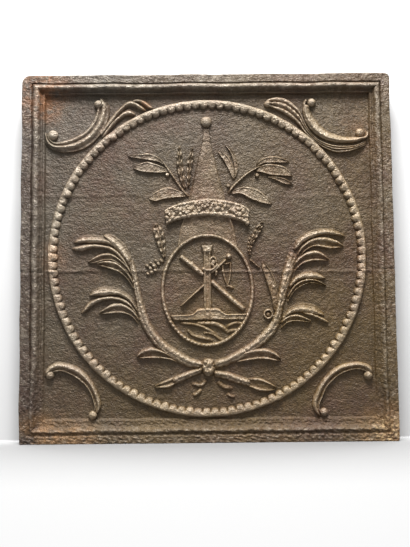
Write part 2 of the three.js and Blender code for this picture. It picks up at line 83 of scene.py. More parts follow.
def bell(value, width):
    """A bell curve of height one round zero, down to 1/e at `width`."""
    return np.exp(-((value / width) ** 2))


def between(value, low, high, edge):
    """One between low and high and zero outside, with both edges `edge` wide."""
    return step((value - low) / edge) * step((high - value) / edge)


# Joints between the pattern's boards: (height, from x, to x, height of the lip, step up above it).
BOARD_JOINTS = [
    (396, -262, -100, 0.9, 0.4),
    (393, 112, 268, 0.7, -0.3),
    (273, -262, -10, 1.5, 0.5),
    (270, 10, 268, 1.7, -0.6),
    (155, -200, -140, 0.6, 0.1),
]
# Raised lines where the mould cracked: from x, z to x, z.
FLASH_LINES = [((-106, 466), (-46, 476)), ((-62, 176), (-55, 185)), ((52, 480), (78, 486))]
# Strips of board beside the frame: side of the plate, distance from its middle, height.
STRIP_TOP = 478
STRIPS = [(-1, 254.5, 0.5), (1, 250.5, 0.7)]
# Pits in the face: x and z, radius, depth.
PITS = [((52, 463), 2.2, 1.3), ((-108, 413), 1.8, 0.8), ((126, 396), 1.6, 0.8), ((-18, 386), 1.4, 0.6)]


def board_marks(x, z):
    """Lips and steps at the joints: a narrow bell across each joint, and a smooth step over it. The
    strips beside the frame are smooth steps too."""
    marks = np.zeros(x.shape)
    for height, left, right, lip, rise in BOARD_JOINTS:
        line = height + 0.5 * waves(x, 0 * x, 15, 60, height, 8)
        window = between(x, left, right, 6)
        marks += window * (lip * bell(z - line, 1.9))
        marks += window * rise * (step((z - line) / 3 + 0.5) - step((z - line) / 40))
    for side, start, rise in STRIPS:
        marks += rise * step((side * x - start) / 1.6) * step((STRIP_TOP - z) / 6)
    return marks


def flaws(x, z):
    """Flash lines as narrow bells along a segment, and pits as round bells into the face."""
    marks = np.zeros(x.shape)
    for (x0, z0), (x1, z1) in FLASH_LINES:
        length = np.hypot(x1 - x0, z1 - z0)
        along = ((x - x0) * (x1 - x0) + (z - z0) * (z1 - z0)) / length
        off = ((x - x0) * (z1 - z0) - (z - z0) * (x1 - x0)) / length
        marks += 0.9 * between(along, 0, length, 4) * bell(off, 1.1)
    draw = np.random.default_rng(71)
    strewn = [
        ((draw.uniform(-255, 260), draw.uniform(45, 555)), draw.uniform(0.9, 1.7), draw.uniform(0.2, 0.6))
        for _ in range(90)
    ]
    for (px, pz), radius, depth in PITS + strewn:
        marks -= depth * np.exp(-((x - px) ** 2 + (z - pz) ** 2) / radius**2)
    return marks


def ground(x, z):
    """Height of the plate's face over its plane: slow waves, the skin of the sand, and the marks."""
    skin = 0.24 * waves(x, z, 70, 200, 1) + 0.12 * waves(x, z, 16, 40, 2)
    skin += 0.075 * waves(x, z * 1.4, 8, 15, 3, 40)
    return skin + board_marks(x, z) + flaws(x, z)


def rounded(x, z):
    """Bends a rectangle's corners onto arcs: inside each corner's square, a point at the shares
    (a, b) of its radius goes to (a*sqrt(1 - b*b/2), b*sqrt(1 - a*a/2))."""
    x, z = x.copy(), z.copy()
    middle = PLATE_HEIGHT / 2
    for (side, end), radius in CORNER_RADIUS.items():
        centre_x, centre_z = side * (HALF_WIDTH - radius), middle + end * (middle - radius)
        a, b = side * (x - centre_x) / radius, end * (z - centre_z) / radius
        inside = (a > 0) & (b > 0)
        a, b = np.clip(a, 0, 1), np.clip(b, 0, 1)
        x = np.where(inside, centre_x + side * radius * a * np.sqrt(1 - b * b / 2), x)
        z = np.where(inside, centre_z + end * radius * b * np.sqrt(1 - a * a / 2), z)
    return x, z


def wander(points):
    """The casting's own crookedness: every straight line of the frame strays by half a millimetre,
    but the foot, which stands on the floor, is straight."""
    x, z = points[..., 0], points[..., 2]
    moved = points.copy()
    moved[..., 0] += 0.35 * waves(x, z, 40, 150, 11, 12)
    moved[..., 2] += 0.35 * waves(x, z, 40, 150, 12, 12) * step(z / 30)
    return moved


def quads(rows, columns, wrap_rows=False, wrap_columns=False, start=0):
    """Faces of a grid of points numbered row by row from `start`, closed in either direction."""
    i = np.arange(rows if wrap_rows else rows - 1)[:, None]
    j = np.arange(columns if wrap_columns else columns - 1)[None, :]
    i1, j1 = (i + 1) % rows, (j + 1) % columns
    corners = [i * columns + j, i * columns + j1, i1 * columns + j1, i1 * columns + j]
    return start + np.stack(np.broadcast_arrays(*corners), -1).reshape(-1, 4)


def shell(name, points, faces):
    """A closed mesh from points in millimetres. Its faces are turned outwards where the volume that
    they enclose, summed over each face's triangles, comes out negative."""
    points = np.asarray(points, float)
    faces = [list(map(int, face)) for face in faces]
    fans = np.array([(f[0], f[k], f[k + 1]) for f in faces for k in range(1, len(f) - 1)])
    a, b, c = points[fans[:, 0]], points[fans[:, 1]], points[fans[:, 2]]
    if np.sum(a * np.cross(b, c)) < 0:
        faces = [face[::-1] for face in faces]
    mesh = bpy.data.meshes.new(name)
    mesh.from_pydata((points / METRE).tolist(), [], faces)
    mesh.validate()
    mesh.shade_smooth()
    mesh.set_sharp_from_angle(angle=math.radians(55))
    piece = bpy.data.objects.new(name, mesh)
    bpy.context.scene.collection.objects.link(piece)
    return piece


def back_plate():
    """The face is a grid under `ground`; the edge's loop then runs down the wall and over the back's
    arris, and shrinks in rings to the middle of the back."""
    across, up = 258, 256
    x, z = np.meshgrid(np.linspace(-HALF_WIDTH, HALF_WIDTH, across), np.linspace(0, PLATE_HEIGHT, up))
    x, z = rounded(x, z)
    face = np.stack([x, FACE - ground(x, z), z], -1).reshape(-1, 3)
    number = np.arange(across * up).reshape(up, across)
    loop = np.r_[number[0, :-1], number[:-1, -1], number[-1, :0:-1], number[:0:-1, 0]]
    face[loop, 1] = FACE
    edge = face[loop]
    middle = np.array([0, BACK, PLATE_HEIGHT / 2])
    wall = edge.copy()
    wall[:, 1] = BACK - BACK_ARRIS
    rings = [wall]
    inset = 1 - BACK_ARRIS / HALF_WIDTH
    for share in inset * np.cos(np.linspace(0, 0.49 * np.pi, 24)):
        ring = middle + (edge - middle) * share
        hills = np.clip(waves(ring[:, 0], ring[:, 2], 12, 60, 5), -2, 1)
        ring[:, 1] = BACK - BACK_UNEVENNESS + BACK_UNEVENNESS * hills
        rings.append(ring)
    inner = np.stack(rings)
    start = len(face)
    size = len(loop)
    faces = list(quads(up, across)[:, ::-1])
    faces += list(quads(len(rings), size, wrap_columns=True, start=start))
    k = np.arange(size)
    faces += list(np.stack([loop[k], start + k, start + (k + 1) % size, loop[(k + 1) % size]], -1))
    faces.append(start + (len(rings) - 1) * size + k)
    return shell("back_plate_cast", wander(np.vstack([face, inner.reshape(-1, 3)])), faces)


# The iron's colour turns from grey at the plate's upper left to olive brown at its lower right.
GREY_IRON = (0.194, 0.156, 0.112)
OLIVE_IRON = (0.180, 0.108, 0.032)
RED_FILM = (0.160, 0.078, 0.042)
RUBBED_AND_HIGHLIGHT_IRON = (0.430, 0.360, 0.260)
RUST = (0.480, 0.205, 0.075)
GOLDEN_RUST = (0.440, 0.230, 0.085)
PALE_RUST = (0.620, 0.430, 0.220)
# Where rust has come through: x and z, how far it reaches, how thick it lies, and its colour.
RUSTED = [
    ((-276, 568), 66, 0.95, RUST), ((-262, 545), 30, 0.6, RUST), ((-249, 300), 30, 0.3, RUST),
    ((-98, 544), 12, 0.7, RUST), ((-292, 6), 54, 1.0, GOLDEN_RUST), ((-250, 4), 56, 0.9, GOLDEN_RUST),
    ((-200, 4), 44, 0.6, GOLDEN_RUST), ((284, 8), 62, 1.0, GOLDEN_RUST), ((252, 500), 40, 0.25, RUST),
]
# Pale rust flakes at the lower right corner: x and z, and how far they reach.
PALE_SPECKS = ((288, 8), 44)
# The middle of the plate is paler: x and z, and how far it reaches.
PALER_MIDDLE = ((0, 235), 120)
# The two upright rims are darker: from one x the darkening sets in, and at the other it is full.
DARKER_LEFT, DARKER_RIGHT = (-262, -280), (266, 280)
RED_LEFT = (-262, -285)
SAND_DEPTH = 2.5
# The back was cast against open air, and is smoother: from one y to the other.
SMOOTH_FROM, SMOOTH_TO = 6, 12


def cast_iron(name, crest_height, hollow_dirt_and_shade_tone, crest_wear_and_highlight_tone):
    """Sand-cast iron. Its colour turns with the place on the plate and is mottled by noise of several
    sizes. With the height, Object Y, it goes from the hollows' tone to the crests', rubbed bright: this is
    wear, and also painted shade in the hollows and at the relief's foot and painted highlight on the
    crests."""
    material = bpy.data.materials.new(name)
    material.use_nodes = True
    nodes, links = material.node_tree.nodes, material.node_tree.links
    shader = nodes["Principled BSDF"]
    place = nodes.new("ShaderNodeTexCoord").outputs["Object"]
    axes = nodes.new("ShaderNodeSeparateXYZ")
    links.new(place, axes.inputs[0])

    def noise(scale, detail=3.0, roughness=0.55, squeeze=1.0):
        mapping = nodes.new("ShaderNodeMapping")
        mapping.inputs["Scale"].default_value = (scale, scale, scale * squeeze)
        links.new(place, mapping.inputs["Vector"])
        node = nodes.new("ShaderNodeTexNoise")
        node.inputs["Scale"].default_value = 1.0
        node.inputs["Detail"].default_value = detail
        node.inputs["Roughness"].default_value = roughness
        links.new(mapping.outputs["Vector"], node.inputs["Vector"])
        return node.outputs["Fac"]

    def spread(source, low, high, to_low=0.0, to_high=1.0):
        node = nodes.new("ShaderNodeMapRange")
        links.new(source, node.inputs["Value"])
        limits = zip(("From Min", "From Max", "To Min", "To Max"), (low, high, to_low, to_high))
        for socket, value in limits:
            node.inputs[socket].default_value = value
        return node.outputs["Result"]

    def mottle(to_low, to_high, *settings):
        return spread(noise(*settings), 0.3, 0.7, to_low, to_high)

    def sums(kind, a, b):
        node = nodes.new("ShaderNodeMath")
        node.operation = kind
        for socket, value in zip(node.inputs, (a, b)):
            if isinstance(value, (int, float)):
                socket.default_value = value
            else:
                links.new(value, socket)
        return node.outputs[0]

    def blend(share, under, over, kind="MIX"):
        node = nodes.new("ShaderNodeMix")
        node.data_type = "RGBA"
        node.blend_type = kind
        for socket, value in zip((node.inputs[0], node.inputs[6], node.inputs[7]), (share, under, over)):
            if isinstance(value, float):
                socket.default_value = value
            elif isinstance(value, tuple):
                socket.default_value = (*value, 1)
            else:
                links.new(value, socket)
        return node.outputs[2]

    def near(x, z, reach):
        gap = nodes.new("ShaderNodeVectorMath")
        gap.operation = "DISTANCE"
        links.new(place, gap.inputs[0])
        gap.inputs[1].default_value = (x / METRE, (FACE - 5) / METRE, z / METRE)
        return spread(gap.outputs["Value"], 0.2 * reach / METRE, reach / METRE, 1.0, 0.0)

    # The colour, from place to place, under a thin red film.
    slant = sums("SUBTRACT", axes.outputs["Z"], sums("MULTIPLY", axes.outputs["X"], 1.3))
    slant = sums("ADD", slant, mottle(-0.2, 0.2, 7))
    colour = blend(spread(slant, -0.02, 0.9), OLIVE_IRON, GREY_IRON)
    film = spread(noise(9, 5), 0.43, 0.64, 0.0, 0.8)
    film = sums("MULTIPLY", film, spread(noise(60, 4), 0.3, 0.6, 0.4, 1.0))
    colour = blend(film, colour, RED_FILM)
    reddened = spread(axes.outputs["X"], RED_LEFT[0] / METRE, RED_LEFT[1] / METRE, 0.0, 0.5)
    colour = blend(reddened, colour, RED_FILM)
    # How worn the iron is, which grows with its height, and the tone that comes of it: lighter on the
    # crests and darker low down, which is wear and also painted highlight and painted shade.
    height = spread(axes.outputs["Y"], (FACE + 1.5) / METRE, (FACE - crest_height) / METRE)
    worn = sums("ADD", height, mottle(-0.22, 0.22, 90, 4))
    tone = spread(sums("POWER", spread(worn, 0.0, 1.0), 1.6), 0.0, 1.0, hollow_dirt_and_shade_tone, crest_wear_and_highlight_tone)
    (x, z), reach = PALER_MIDDLE
    mottled = mottle(0.80, 1.20, 28, 5, 0.6)
    darker_left = spread(axes.outputs["X"], DARKER_LEFT[1] / METRE, DARKER_LEFT[0] / METRE, 0.60, 1.0)
    darker_right = spread(axes.outputs["X"], DARKER_RIGHT[0] / METRE, DARKER_RIGHT[1] / METRE, 1.0, 0.86)
    grain = spread(noise(300, 3, 0.6, 1.15), 0.28, 0.72, 0.68, 1.32)
    paler_middle = sums("ADD", sums("MULTIPLY", near(x, z, reach), 0.22), 1.0)
    for factor in (mottled, darker_left, darker_right, grain, paler_middle):
        tone = sums("MULTIPLY", tone, factor)
    # Rust, the pale flakes over it, and bare rubbed iron on the crests, which is also a painted highlight.
    for (x, z), reach, thick, shade in RUSTED:
        patch = sums("MULTIPLY", near(x, z, reach), spread(noise(55, 6, 0.7), 0.36, 0.56))
        colour = blend(sums("MULTIPLY", patch, thick), colour, shade)
    # The tone lightens the crests and darkens the hollows: wear, with painted highlight and painted shade.
    colour = blend(1.0, colour, tone, "MULTIPLY")
    (x, z), reach = PALE_SPECKS
    speck = sums("MULTIPLY", near(x, z, reach), spread(noise(170, 5, 0.75), 0.50, 0.58))
    colour = blend(sums("MULTIPLY", speck, 0.85), colour, PALE_RUST)
    rubbed_and_highlight = sums("ADD", worn, mottle(-0.14, 0.14, 210, 3, 0.6))
    colour = blend(spread(rubbed_and_highlight, 0.62, 0.98, 0.0, 0.34), colour, RUBBED_AND_HIGHLIGHT_IRON)
    links.new(colour, shader.inputs["Base Color"])
    # The polish of the crests, and the sand's grain, which takes three sizes of noise.
    matt = mottle(0.42, 0.60, 160, 3)
    polish = spread(worn, 0.5, 1.0, 0.0, 0.10)
    links.new(sums("SUBTRACT", matt, polish), shader.inputs["Roughness"])
    shader.inputs["Metallic"].default_value = 0.2
    links.new(spread(worn, 0.45, 1.0, 0.5, 1.0), shader.inputs["Specular IOR Level"])
    bump = nodes.new("ShaderNodeBump")
    bump.inputs["Strength"].default_value = 1.0
    bump.inputs["Distance"].default_value = SAND_DEPTH / METRE
    rough = sums("ADD", noise(190, 3, 0.6, 1.15), sums("MULTIPLY", noise(480, 2), 0.6))
    rough = sums("ADD", rough, sums("MULTIPLY", noise(85, 2, 0.5), 0.35))
    smoother = spread(axes.outputs["Y"], SMOOTH_FROM / METRE, SMOOTH_TO / METRE, 1.0, 0.35)
    rough = sums("MULTIPLY", rough, smoother)
    links.new(rough, bump.inputs["Height"])
    links.new(bump.outputs["Normal"], shader.inputs["Normal"])
    return material


GROUND_IRON = cast_iron("ground iron", 15.0, 0.45, 0.67)


def settle(piece, node, iron):
    """Gives a piece its iron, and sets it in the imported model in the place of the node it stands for."""
    piece.data.materials.append(iron)
    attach(piece, "root")
    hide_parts(node)


settle(back_plate(), "back_plate", GROUND_IRON)

# ---- Frame ---------------------------------------------------------------------------------------
# A moulding run round the plate and cast with it: a flat rim, a groove, a bead, a hollow and a small
# fillet down to the ground. It is crisp above and soft towards the foot, where the sand gave way.

# The ground inside the frame: from left to right, and from its foot to its top.
FIELD_X, FIELD_Z = (-260.0, 264.0), (40.0, 560.0)
RIM = 9.0
# The moulding's profile: share of the frame's width from the outer edge, and height over the ground.
MOULDING = np.array([
    (0.05, 9.0), (0.38, 9.0), (0.415, 6.6), (0.44, 8.0), (0.48, 10.0), (0.52, 11.2), (0.57, 11.9),
    (0.62, 11.9), (0.67, 10.8), (0.71, 9.0), (0.745, 7.0), (0.775, 5.4), (0.80, 4.6), (0.825, 4.8),
    (0.85, 5.6), (0.89, 5.9), (0.92, 5.0), (0.945, 2.2), (0.965, 0.4), (1.0, -0.6),
])
SOFT_MOULDING = np.array([
    (0.05, 8.8), (0.27, 8.8), (0.31, 8.0), (0.35, 7.2), (0.39, 7.6), (0.43, 8.8), (0.47, 9.8),
    (0.51, 9.9), (0.56, 8.6), (0.61, 6.6), (0.67, 4.7), (0.74, 3.6), (0.83, 3.0), (0.89, 2.6),
    (0.93, 1.5), (0.97, 0.2), (1.0, -0.6),
])
# The frame is soft below one height and crisp above the other. A worn side softens over WORN_OVER
# from the field's top, and nothing stands higher over the plate than HIGHEST.
SOFT_BELOW, CRISP_ABOVE = 50.0, 165.0
WORN_OVER, HIGHEST = 150.0, 12.0
# Nicks that the boards' joints left in the upright sides: height and depth.
JOINT_NICKS = [(271.5, 1.3), (216.0, 0.6)]
# The moulding's foot stands this share of its width in from the plate's edge, sunk in the plate.
TUCK, FOOT = 0.012, 1.2


def tube(rows, columns, start=0):
    """Faces of a tube whose rows of points run round it, with the first and the last row closed."""
    row = start + np.arange(columns)
    faces = list(quads(rows, columns, wrap_columns=True, start=start))
    return faces + [row[::-1], (rows - 1) * columns + row]


def moulding(profile):
    """The moulding's section as a closed loop: wall, rounded edge, the profile rounded by averaging
    over a short span, and a foot sunk a millimetre into the plate."""
    share = np.linspace(profile[0, 0], 1, 64)
    places = np.linspace(0.03, 1.02, 400)
    kernel = np.hanning(9) / np.hanning(9).sum()
    rounded_profile = np.convolve(np.interp(places, *profile.T), kernel, "same")
    height = np.interp(share, places, rounded_profile)
    height[0], height[-1] = profile[0, 1], profile[-1, 1]
    shares = np.r_[TUCK, 0, 0, 0.006, 0.022, share, 1.0]
    heights = np.r_[-FOOT, -0.6, RIM - 1.6, RIM - 0.5, RIM - 0.06, height, -FOOT]
    return shares, heights


def frame_side(name, start, end, worn):
    """The section is carried from mitre to mitre: a point at share s lies on the line between the
    two mitres, each drawn from the plate's corner to the field's corner. The soft section takes over
    from the crisp one on the way down, and a worn side has a share of it from near its top. The
    boards' joints leave nicks in the upright sides."""
    shares, crisp = moulding(MOULDING)
    _, soft = moulding(SOFT_MOULDING)
    mitres = []
    for right, top in (start, end):
        outer = np.array([(-HALF_WIDTH, HALF_WIDTH)[right], (0, PLATE_HEIGHT)[top]])
        inner = np.array([FIELD_X[right], FIELD_Z[top]])
        mitres.append(outer + (inner - outer) * shares[:, None])
    along = np.linspace(0, 1, 300)[:, None, None]
    place = mitres[0] + (mitres[1] - mitres[0]) * along
    x, z = place[..., 0], place[..., 1]
    softened = step((CRISP_ABOVE - z) / (CRISP_ABOVE - SOFT_BELOW))
    softened = np.maximum(softened, worn * step((FIELD_Z[1] - z) / WORN_OVER))
    heights = crisp + (soft - crisp) * softened
    lively = np.clip(heights, 0, 4) / 4
    uneven = 0.22 * waves(x, z, 30, 120, 21) + 0.15 * waves(x, z, 7, 18, 22)
    uneven += 0.34 * waves(x, z, 4, 9, 23) * softened
    uneven -= sum(depth * bell(z - height, 1.5) for height, depth in JOINT_NICKS)
    x, z = rounded(x, z)
    points = np.stack([x, FACE - heights - lively * uneven, z], -1)
    points[..., 1] = np.clip(points[..., 1], FACE - HIGHEST, None)
    return shell(name, wander(points).reshape(-1, 3), tube(*points.shape[:2]))


# Each side's two corners, as (right, top), and how worn it is.
FRAME_SIDES = {
    "frame_top": ((0, 1), (1, 1), 0.0),
    "frame_right": ((1, 1), (1, 0), 0.55),
    "frame_bottom": ((1, 0), (0, 0), 0.0),
    "frame_left": ((0, 0), (0, 1), 0.0),
}
for node, (start, end, worn) in FRAME_SIDES.items():
    settle(frame_side(node + "_cast", start, end, worn), node, GROUND_IRON)

# ---- Ring of pearls ------------------------------------------------------------------------------
# A round moulding, steep outside, and a string of worn pearls let into its inner slope. They melt
# into it at the top of the plate and stand out most at its sides, with dark notches between them.

# Relief iron goes much lighter on its crests and darker at its foot: wear, with painted highlight and
# painted shade.
RELIEF_IRON = cast_iron("relief iron", 5.2, 0.44, 1.24)
# Every carving is sunk a little into the ground, as if cast with it.
SINK = 0.45
RING_X, RING_Z, RING_RADIUS = -0.4, 296.0, 257.6
# The moulding's section up to its crest: how far in from its outer edge, and the height there.
RIDGE = np.array([(0, 0), (1, 3.6), (2, 5.2), (3.5, 6.3), (5.5, 6.7)])
# The pearls and the notches between them: how far in from that edge, and their height or depth. The
# moulding's inner edge reaches further in at each pearl.
PEARL_COUNT, PEARL_ROWS = 117, 10
PEARL_INSET, PEARL_SWELL = 10.6, 1.4
NOTCH_INSET, NOTCH_DEPTH = 11.4, 2.2
PEARL_REACH = 5.0


def crust(x, z, lift, ring=False):
    """A carving over a grid of places: its skin stands `lift` over the ground there, and the rows'
    two ends go down to a flat foot inside the plate. In a ring the last row meets the first one;
    otherwise both are closed."""
    top = np.stack([x, FACE - ground(x, z) - lift + SINK, z], -1)
    foot = top[:, [-1, 0]].copy()
    foot[..., 1] = FACE + FOOT
    points = np.concatenate([top, foot], 1)
    rows, columns = points.shape[:2]
    if ring:
        return points.reshape(-1, 3), quads(rows, columns, wrap_rows=True, wrap_columns=True)
    return points.reshape(-1, 3), tube(rows, columns)


def pearl_ring():
    """The section is carried round the circle. Over each pearl u runs from -1 to 1, and the pearl is
    round as sqrt(1 - u^2): the inner edge reaches further in by it, the slope falls to that edge on a
    quarter circle, and a bell along the pearls' middle lifts them and sinks the notches between."""
    draw = np.random.default_rng(5)
    rows = PEARL_COUNT * PEARL_ROWS
    turn = np.linspace(0, 2 * np.pi, rows, endpoint=False)[:, None]
    u = np.linspace(0, 2 * PEARL_COUNT, rows, endpoint=False) % 2 - 1
    size = np.repeat(1 + draw.normal(0, 0.12, PEARL_COUNT), PEARL_ROWS)
    pearl = (size * np.sqrt(1 - u**2))[:, None]
    crest, top = RIDGE[-1]
    edge = NOTCH_INSET + PEARL_REACH * pearl
    inset = edge * np.linspace(0, 1, 26)[None, :] ** 1.25
    x = RING_X + (RING_RADIUS - inset) * np.cos(turn)
    z = RING_Z + (RING_RADIUS - inset) * np.sin(turn)
    fall = np.sqrt(np.clip(1 - ((inset - crest) / (edge - crest)) ** 2, 0, 1))
    height = np.where(inset < crest, np.interp(inset, *RIDGE.T), top * fall)
    knobbly = np.clip(0.45 - 0.22 * np.sin(turn) + 0.3 * np.cos(2 * turn), 0, 1)
    notch = (0.4 + 0.9 * knobbly) * NOTCH_DEPTH * (1 - pearl)
    height += bell(inset - PEARL_INSET, 3.2) * (knobbly * PEARL_SWELL * pearl - notch)
    height *= (1 - 0.14 * knobbly * (1 - pearl)) * (0.96 + 0.06 * waves(x, z, 12, 50, 31))
    return crust(x, z, np.clip(height, 0, None), ring=True)


def joined(*parts):
    """Several closed shells, each a pair of points and faces, as one list of each."""
    points, faces, start = [], [], 0
    for part_points, part_faces in parts:
        points.append(part_points)
        faces += [np.asarray(face) + start for face in part_faces]
        start += len(part_points)
    return np.vstack(points), faces


def carving(node, *parts):
    """A carving of one or more closed shells, in relief iron, in the place of its node."""
    settle(shell(node + "_cast", *joined(*parts)), node, RELIEF_IRON)


carving("pearl_ring", pearl_ring())

# ---- Corner scrolls ------------------------------------------------------------------------------
# Each corner of the field has a C-scroll between two balls, cut with grooves along it. From the two
# upper ones a spray of acanthus springs towards the middle. They were carved apart and glued on.


def through(places, count):
    """A smooth line through the places, at even steps of its length: on each span the cubic that
    leaves and reaches its ends along the chord of their neighbours."""
    p = np.array(places, float)
    p = np.vstack([2 * p[0] - p[1], p, 2 * p[-1] - p[-2]])
    t = np.linspace(0, len(places) - 1, 24 * len(places))
    i = np.minimum(t.astype(int), len(places) - 2)
    f = (t - i)[:, None]
    a, b, c, d = p[i], p[i + 1], p[i + 2], p[i + 3]
    fine = b + 0.5 * f * (c - a + f * (2 * a - 5 * b + 4 * c - d + f * (3 * (b - c) + d - a)))
    length = np.r_[0, np.cumsum(np.hypot(*np.diff(fine, axis=0).T))]
    even = np.linspace(0, length[-1], count)
    return np.stack([np.interp(even, length, fine[:, 0]), np.interp(even, length, fine[:, 1])], -1)


def rising(along, ends):
    """A carving's share of its height: a quarter at root and tip, and up to one between them by the
    square root of the length's share, over the first part and the last that `ends` gives."""
    root, tip = np.clip(along / ends[0], 0, 1), np.clip((1 - along) / ends[1], 0, 1)
    return 0.25 + 0.75 * (np.sqrt(root) * np.sqrt(tip))


def blade(one_edge, other_edge, height, section, steps=64, columns=19, ends=(0.12, 0.12), rough=0.12):
    """A carving ruled between two edges, drawn from root to tip: a row joins the points at the same
    share of both, and section(across, along) gives the share of the height. It rises over the first
    part of its length and falls over the last, as `ends` says; `rough` is the spread of its skin."""
    a, b = through(one_edge, steps), through(other_edge, steps)
    across = np.linspace(0, 1, columns)[None, :]
    along = np.linspace(0, 1, steps)[:, None]
    x = a[:, :1] + (b[:, :1] - a[:, :1]) * across
    z = a[:, 1:] + (b[:, 1:] - a[:, 1:]) * across
    lift = height * section(across, along) * rising(along, ends)
    return crust(x, z, lift + rough * waves(x, z, 4, 11, 41, 40) * step(lift))


def strand(line, width, height, steps=60, columns=15, swell=None, ends=(0.1, 0.1)):
    """A plump carving along a centre line: its edges are the line moved half the width to either
    side, and swell(along) gives the share of the width."""
    centre = through(line, steps)
    heading = np.gradient(centre, axis=0)
    heading /= np.hypot(heading[:, 0], heading[:, 1])[:, None]
    side = np.stack([-heading[:, 1], heading[:, 0]], -1)
    along = np.linspace(0, 1, steps)
    half = width / 2 * (np.ones(steps) if swell is None else swell(along))
    across = np.linspace(-1, 1, columns)[None, :]
    x = centre[:, :1] + side[:, :1] * half[:, None] * across
    z = centre[:, 1:] + side[:, 1:] * half[:, None] * across
    along = along[:, None]
    lift = height * plump((across + 1) / 2, along) * rising(along, ends)
    return crust(x, z, lift + 0.1 * waves(x, z, 5, 12, 42) * step(lift))


def ridges(*crests, floor=0.35):
    """A section with rounded ridges, each (place across, half width, share of the height), over a
    flat floor whose two edges run out to nothing."""
    def section(across, along):
        base = floor * between(across, 0, 1, 0.12)
        bells = [share * bell(across - place, wide) for place, wide, share in crests]
        top = np.maximum.reduce([base + 0 * along, *(one + 0 * along for one in bells)])
        return top * between(across, 0, 1, 0.06)
    return section


def back(crest, *grooves):
    """A section that rises from the first edge to its crest, half a straight slope and half a quarter
    sine, and drops on a quarter cosine to the other edge, with grooves, each (place across, half
    width, share of the height)."""
    def section(across, along):
        share = np.clip(across / crest, 0, 1)
        rise = 0.5 * share + 0.5 * np.sin(np.pi / 2 * share)
        fall = np.cos(np.pi / 2 * np.clip((across - crest) / (1 - crest), 0, 1)) ** 0.7
        cuts = [share * bell(across - place, wide) for place, wide, share in grooves]
        return np.clip(rise * fall - sum(cuts), 0, None) + 0 * along
    return section


def hump(across):
    """A rounded back over -1..1, flat at the top and running out softly at both feet."""
    return (1 - np.clip(np.abs(across), 0, 1) ** 2.2) ** 1.1


def plump(across, along):
    """A plain rounded back."""
    return hump(2 * across - 1) + 0 * along


SCROLL, SCROLL_BALL, ACANTHUS = 7.5, 8.5, 6.6
# The shares of its length over which a short stub rises and falls.
BLUNT = (0.3, 0.3)
LOWER_SECTION = ridges((0.36, 0.28, 1.0), (0.84, 0.11, 0.75), floor=0.4)
C_SECTION = ridges((0.18, 0.15, 0.72), (0.56, 0.19, 1.0), (0.92, 0.07, 0.5), floor=0.34)
BALL_LEVELS = (1, 0.98, 0.92, 0.82, 0.68, 0.5, 0.3, 0.1)


def domes(centres, widths, heights, sides=12, stretch=1.0, heading=0.0, levels=(1, 0.93, 0.72, 0.4)):
    """Low round bosses. On each, ring k has the share levels[k] of the half width and stands at
    sqrt(1 - share^2) of the height; a boss is `stretch` times as long in its heading as across."""
    centres = np.asarray(centres, float).reshape(-1, 1, 1, 2)
    widths = np.broadcast_to(widths, len(centres)).reshape(-1, 1, 1)
    heights = np.broadcast_to(heights, len(centres)).reshape(-1, 1, 1)
    heading = np.broadcast_to(heading, len(centres)).reshape(-1, 1, 1)
    angle = np.linspace(0, 2 * np.pi, sides, endpoint=False)[None, None, :]
    share = np.array((levels[0], *levels))[None, :, None]
    ahead = widths / 2 * share * stretch * np.cos(angle)
    aside = widths / 2 * share * np.sin(angle)
    x = centres[..., 0] + ahead * np.cos(heading) - aside * np.sin(heading)
    z = centres[..., 1] + ahead * np.sin(heading) + aside * np.cos(heading)
    lift = heights * np.sqrt(np.clip(1 - share**2, 0, 1)) * np.ones(angle.shape)
    y = FACE - ground(x, z) - lift + SINK
    y[:, 0, :] = FACE + FOOT
    points = np.stack([x, y, z], -1)
    count, rows = points.shape[:2]
    faces = []
    for k in range(count):
        faces += tube(rows, sides, start=k * rows * sides)
    return points.reshape(-1, 3), faces


def ball(place, width, height):
    return domes([place], width, height, sides=24, levels=BALL_LEVELS)


def banded(across, along):
    """Three full bands with thin grooves between them; the middle one is ruffled near the root."""
    ruffle = 1 + 0.22 * np.sin(2 * np.pi * 22 * along) * step((0.42 - along) / 0.1)
    bands = [
        0.85 * hump((across - 0.17) / 0.19) + 0 * along,
        1.0 * hump((across - 0.50) / 0.18) * ruffle,
        0.85 * hump((across - 0.83) / 0.18) + 0 * along,
    ]
    return np.maximum(np.maximum.reduce(bands), 0.42 * between(across, 0, 1, 0.1))


carving(
    "scroll_top_left",
    blade(
        [(-258, 501), (-254, 490), (-245, 485), (-229, 488), (-214, 494), (-199, 503), (-188, 516),
         (-182, 529), (-179, 540), (-176, 547), (-175, 552)],
        [(-265, 501), (-263, 485), (-254, 473), (-237, 467), (-218, 467), (-198, 473), (-180, 486),
         (-167, 503), (-158, 524), (-158, 546), (-172, 560)],
        SCROLL, C_SECTION, steps=120, columns=25, ends=(0.03, 0.03),
    ),
    ball((-250, 496), 18, SCROLL_BALL),
    ball((-176, 547), 15, SCROLL_BALL),
)
carving(
    "acanthus_top_left",
    blade(
        [(-176, 497), (-160, 521), (-147, 537), (-136, 547), (-127, 553), (-117, 553), (-107, 546),
         (-98, 538)],
        [(-169, 494), (-152, 515), (-141, 530), (-134, 537), (-126, 543), (-116, 541), (-107, 536),
         (-99, 534)],
        ACANTHUS, back(0.5, (0.8, 0.08, 0.2)), ends=(0.1, 0.06),
    ),
    blade(
        [(-125, 551), (-114, 556), (-102, 554), (-92, 546), (-86, 541)],
        [(-122, 546), (-112, 549), (-102, 544), (-95, 539), (-88, 538)],
        ACANTHUS, back(0.5), steps=40, ends=(0.2, 0.1),
    ),
    blade(
        [(-174, 493), (-158, 517), (-146, 529), (-136, 537), (-126, 540), (-116, 533)],
        [(-166, 490), (-149, 512), (-140, 520), (-131, 526), (-122, 527), (-115, 528)],
        0.9 * ACANTHUS, back(0.55, (0.3, 0.08, 0.3)), ends=(0.1, 0.1),
    ),
)
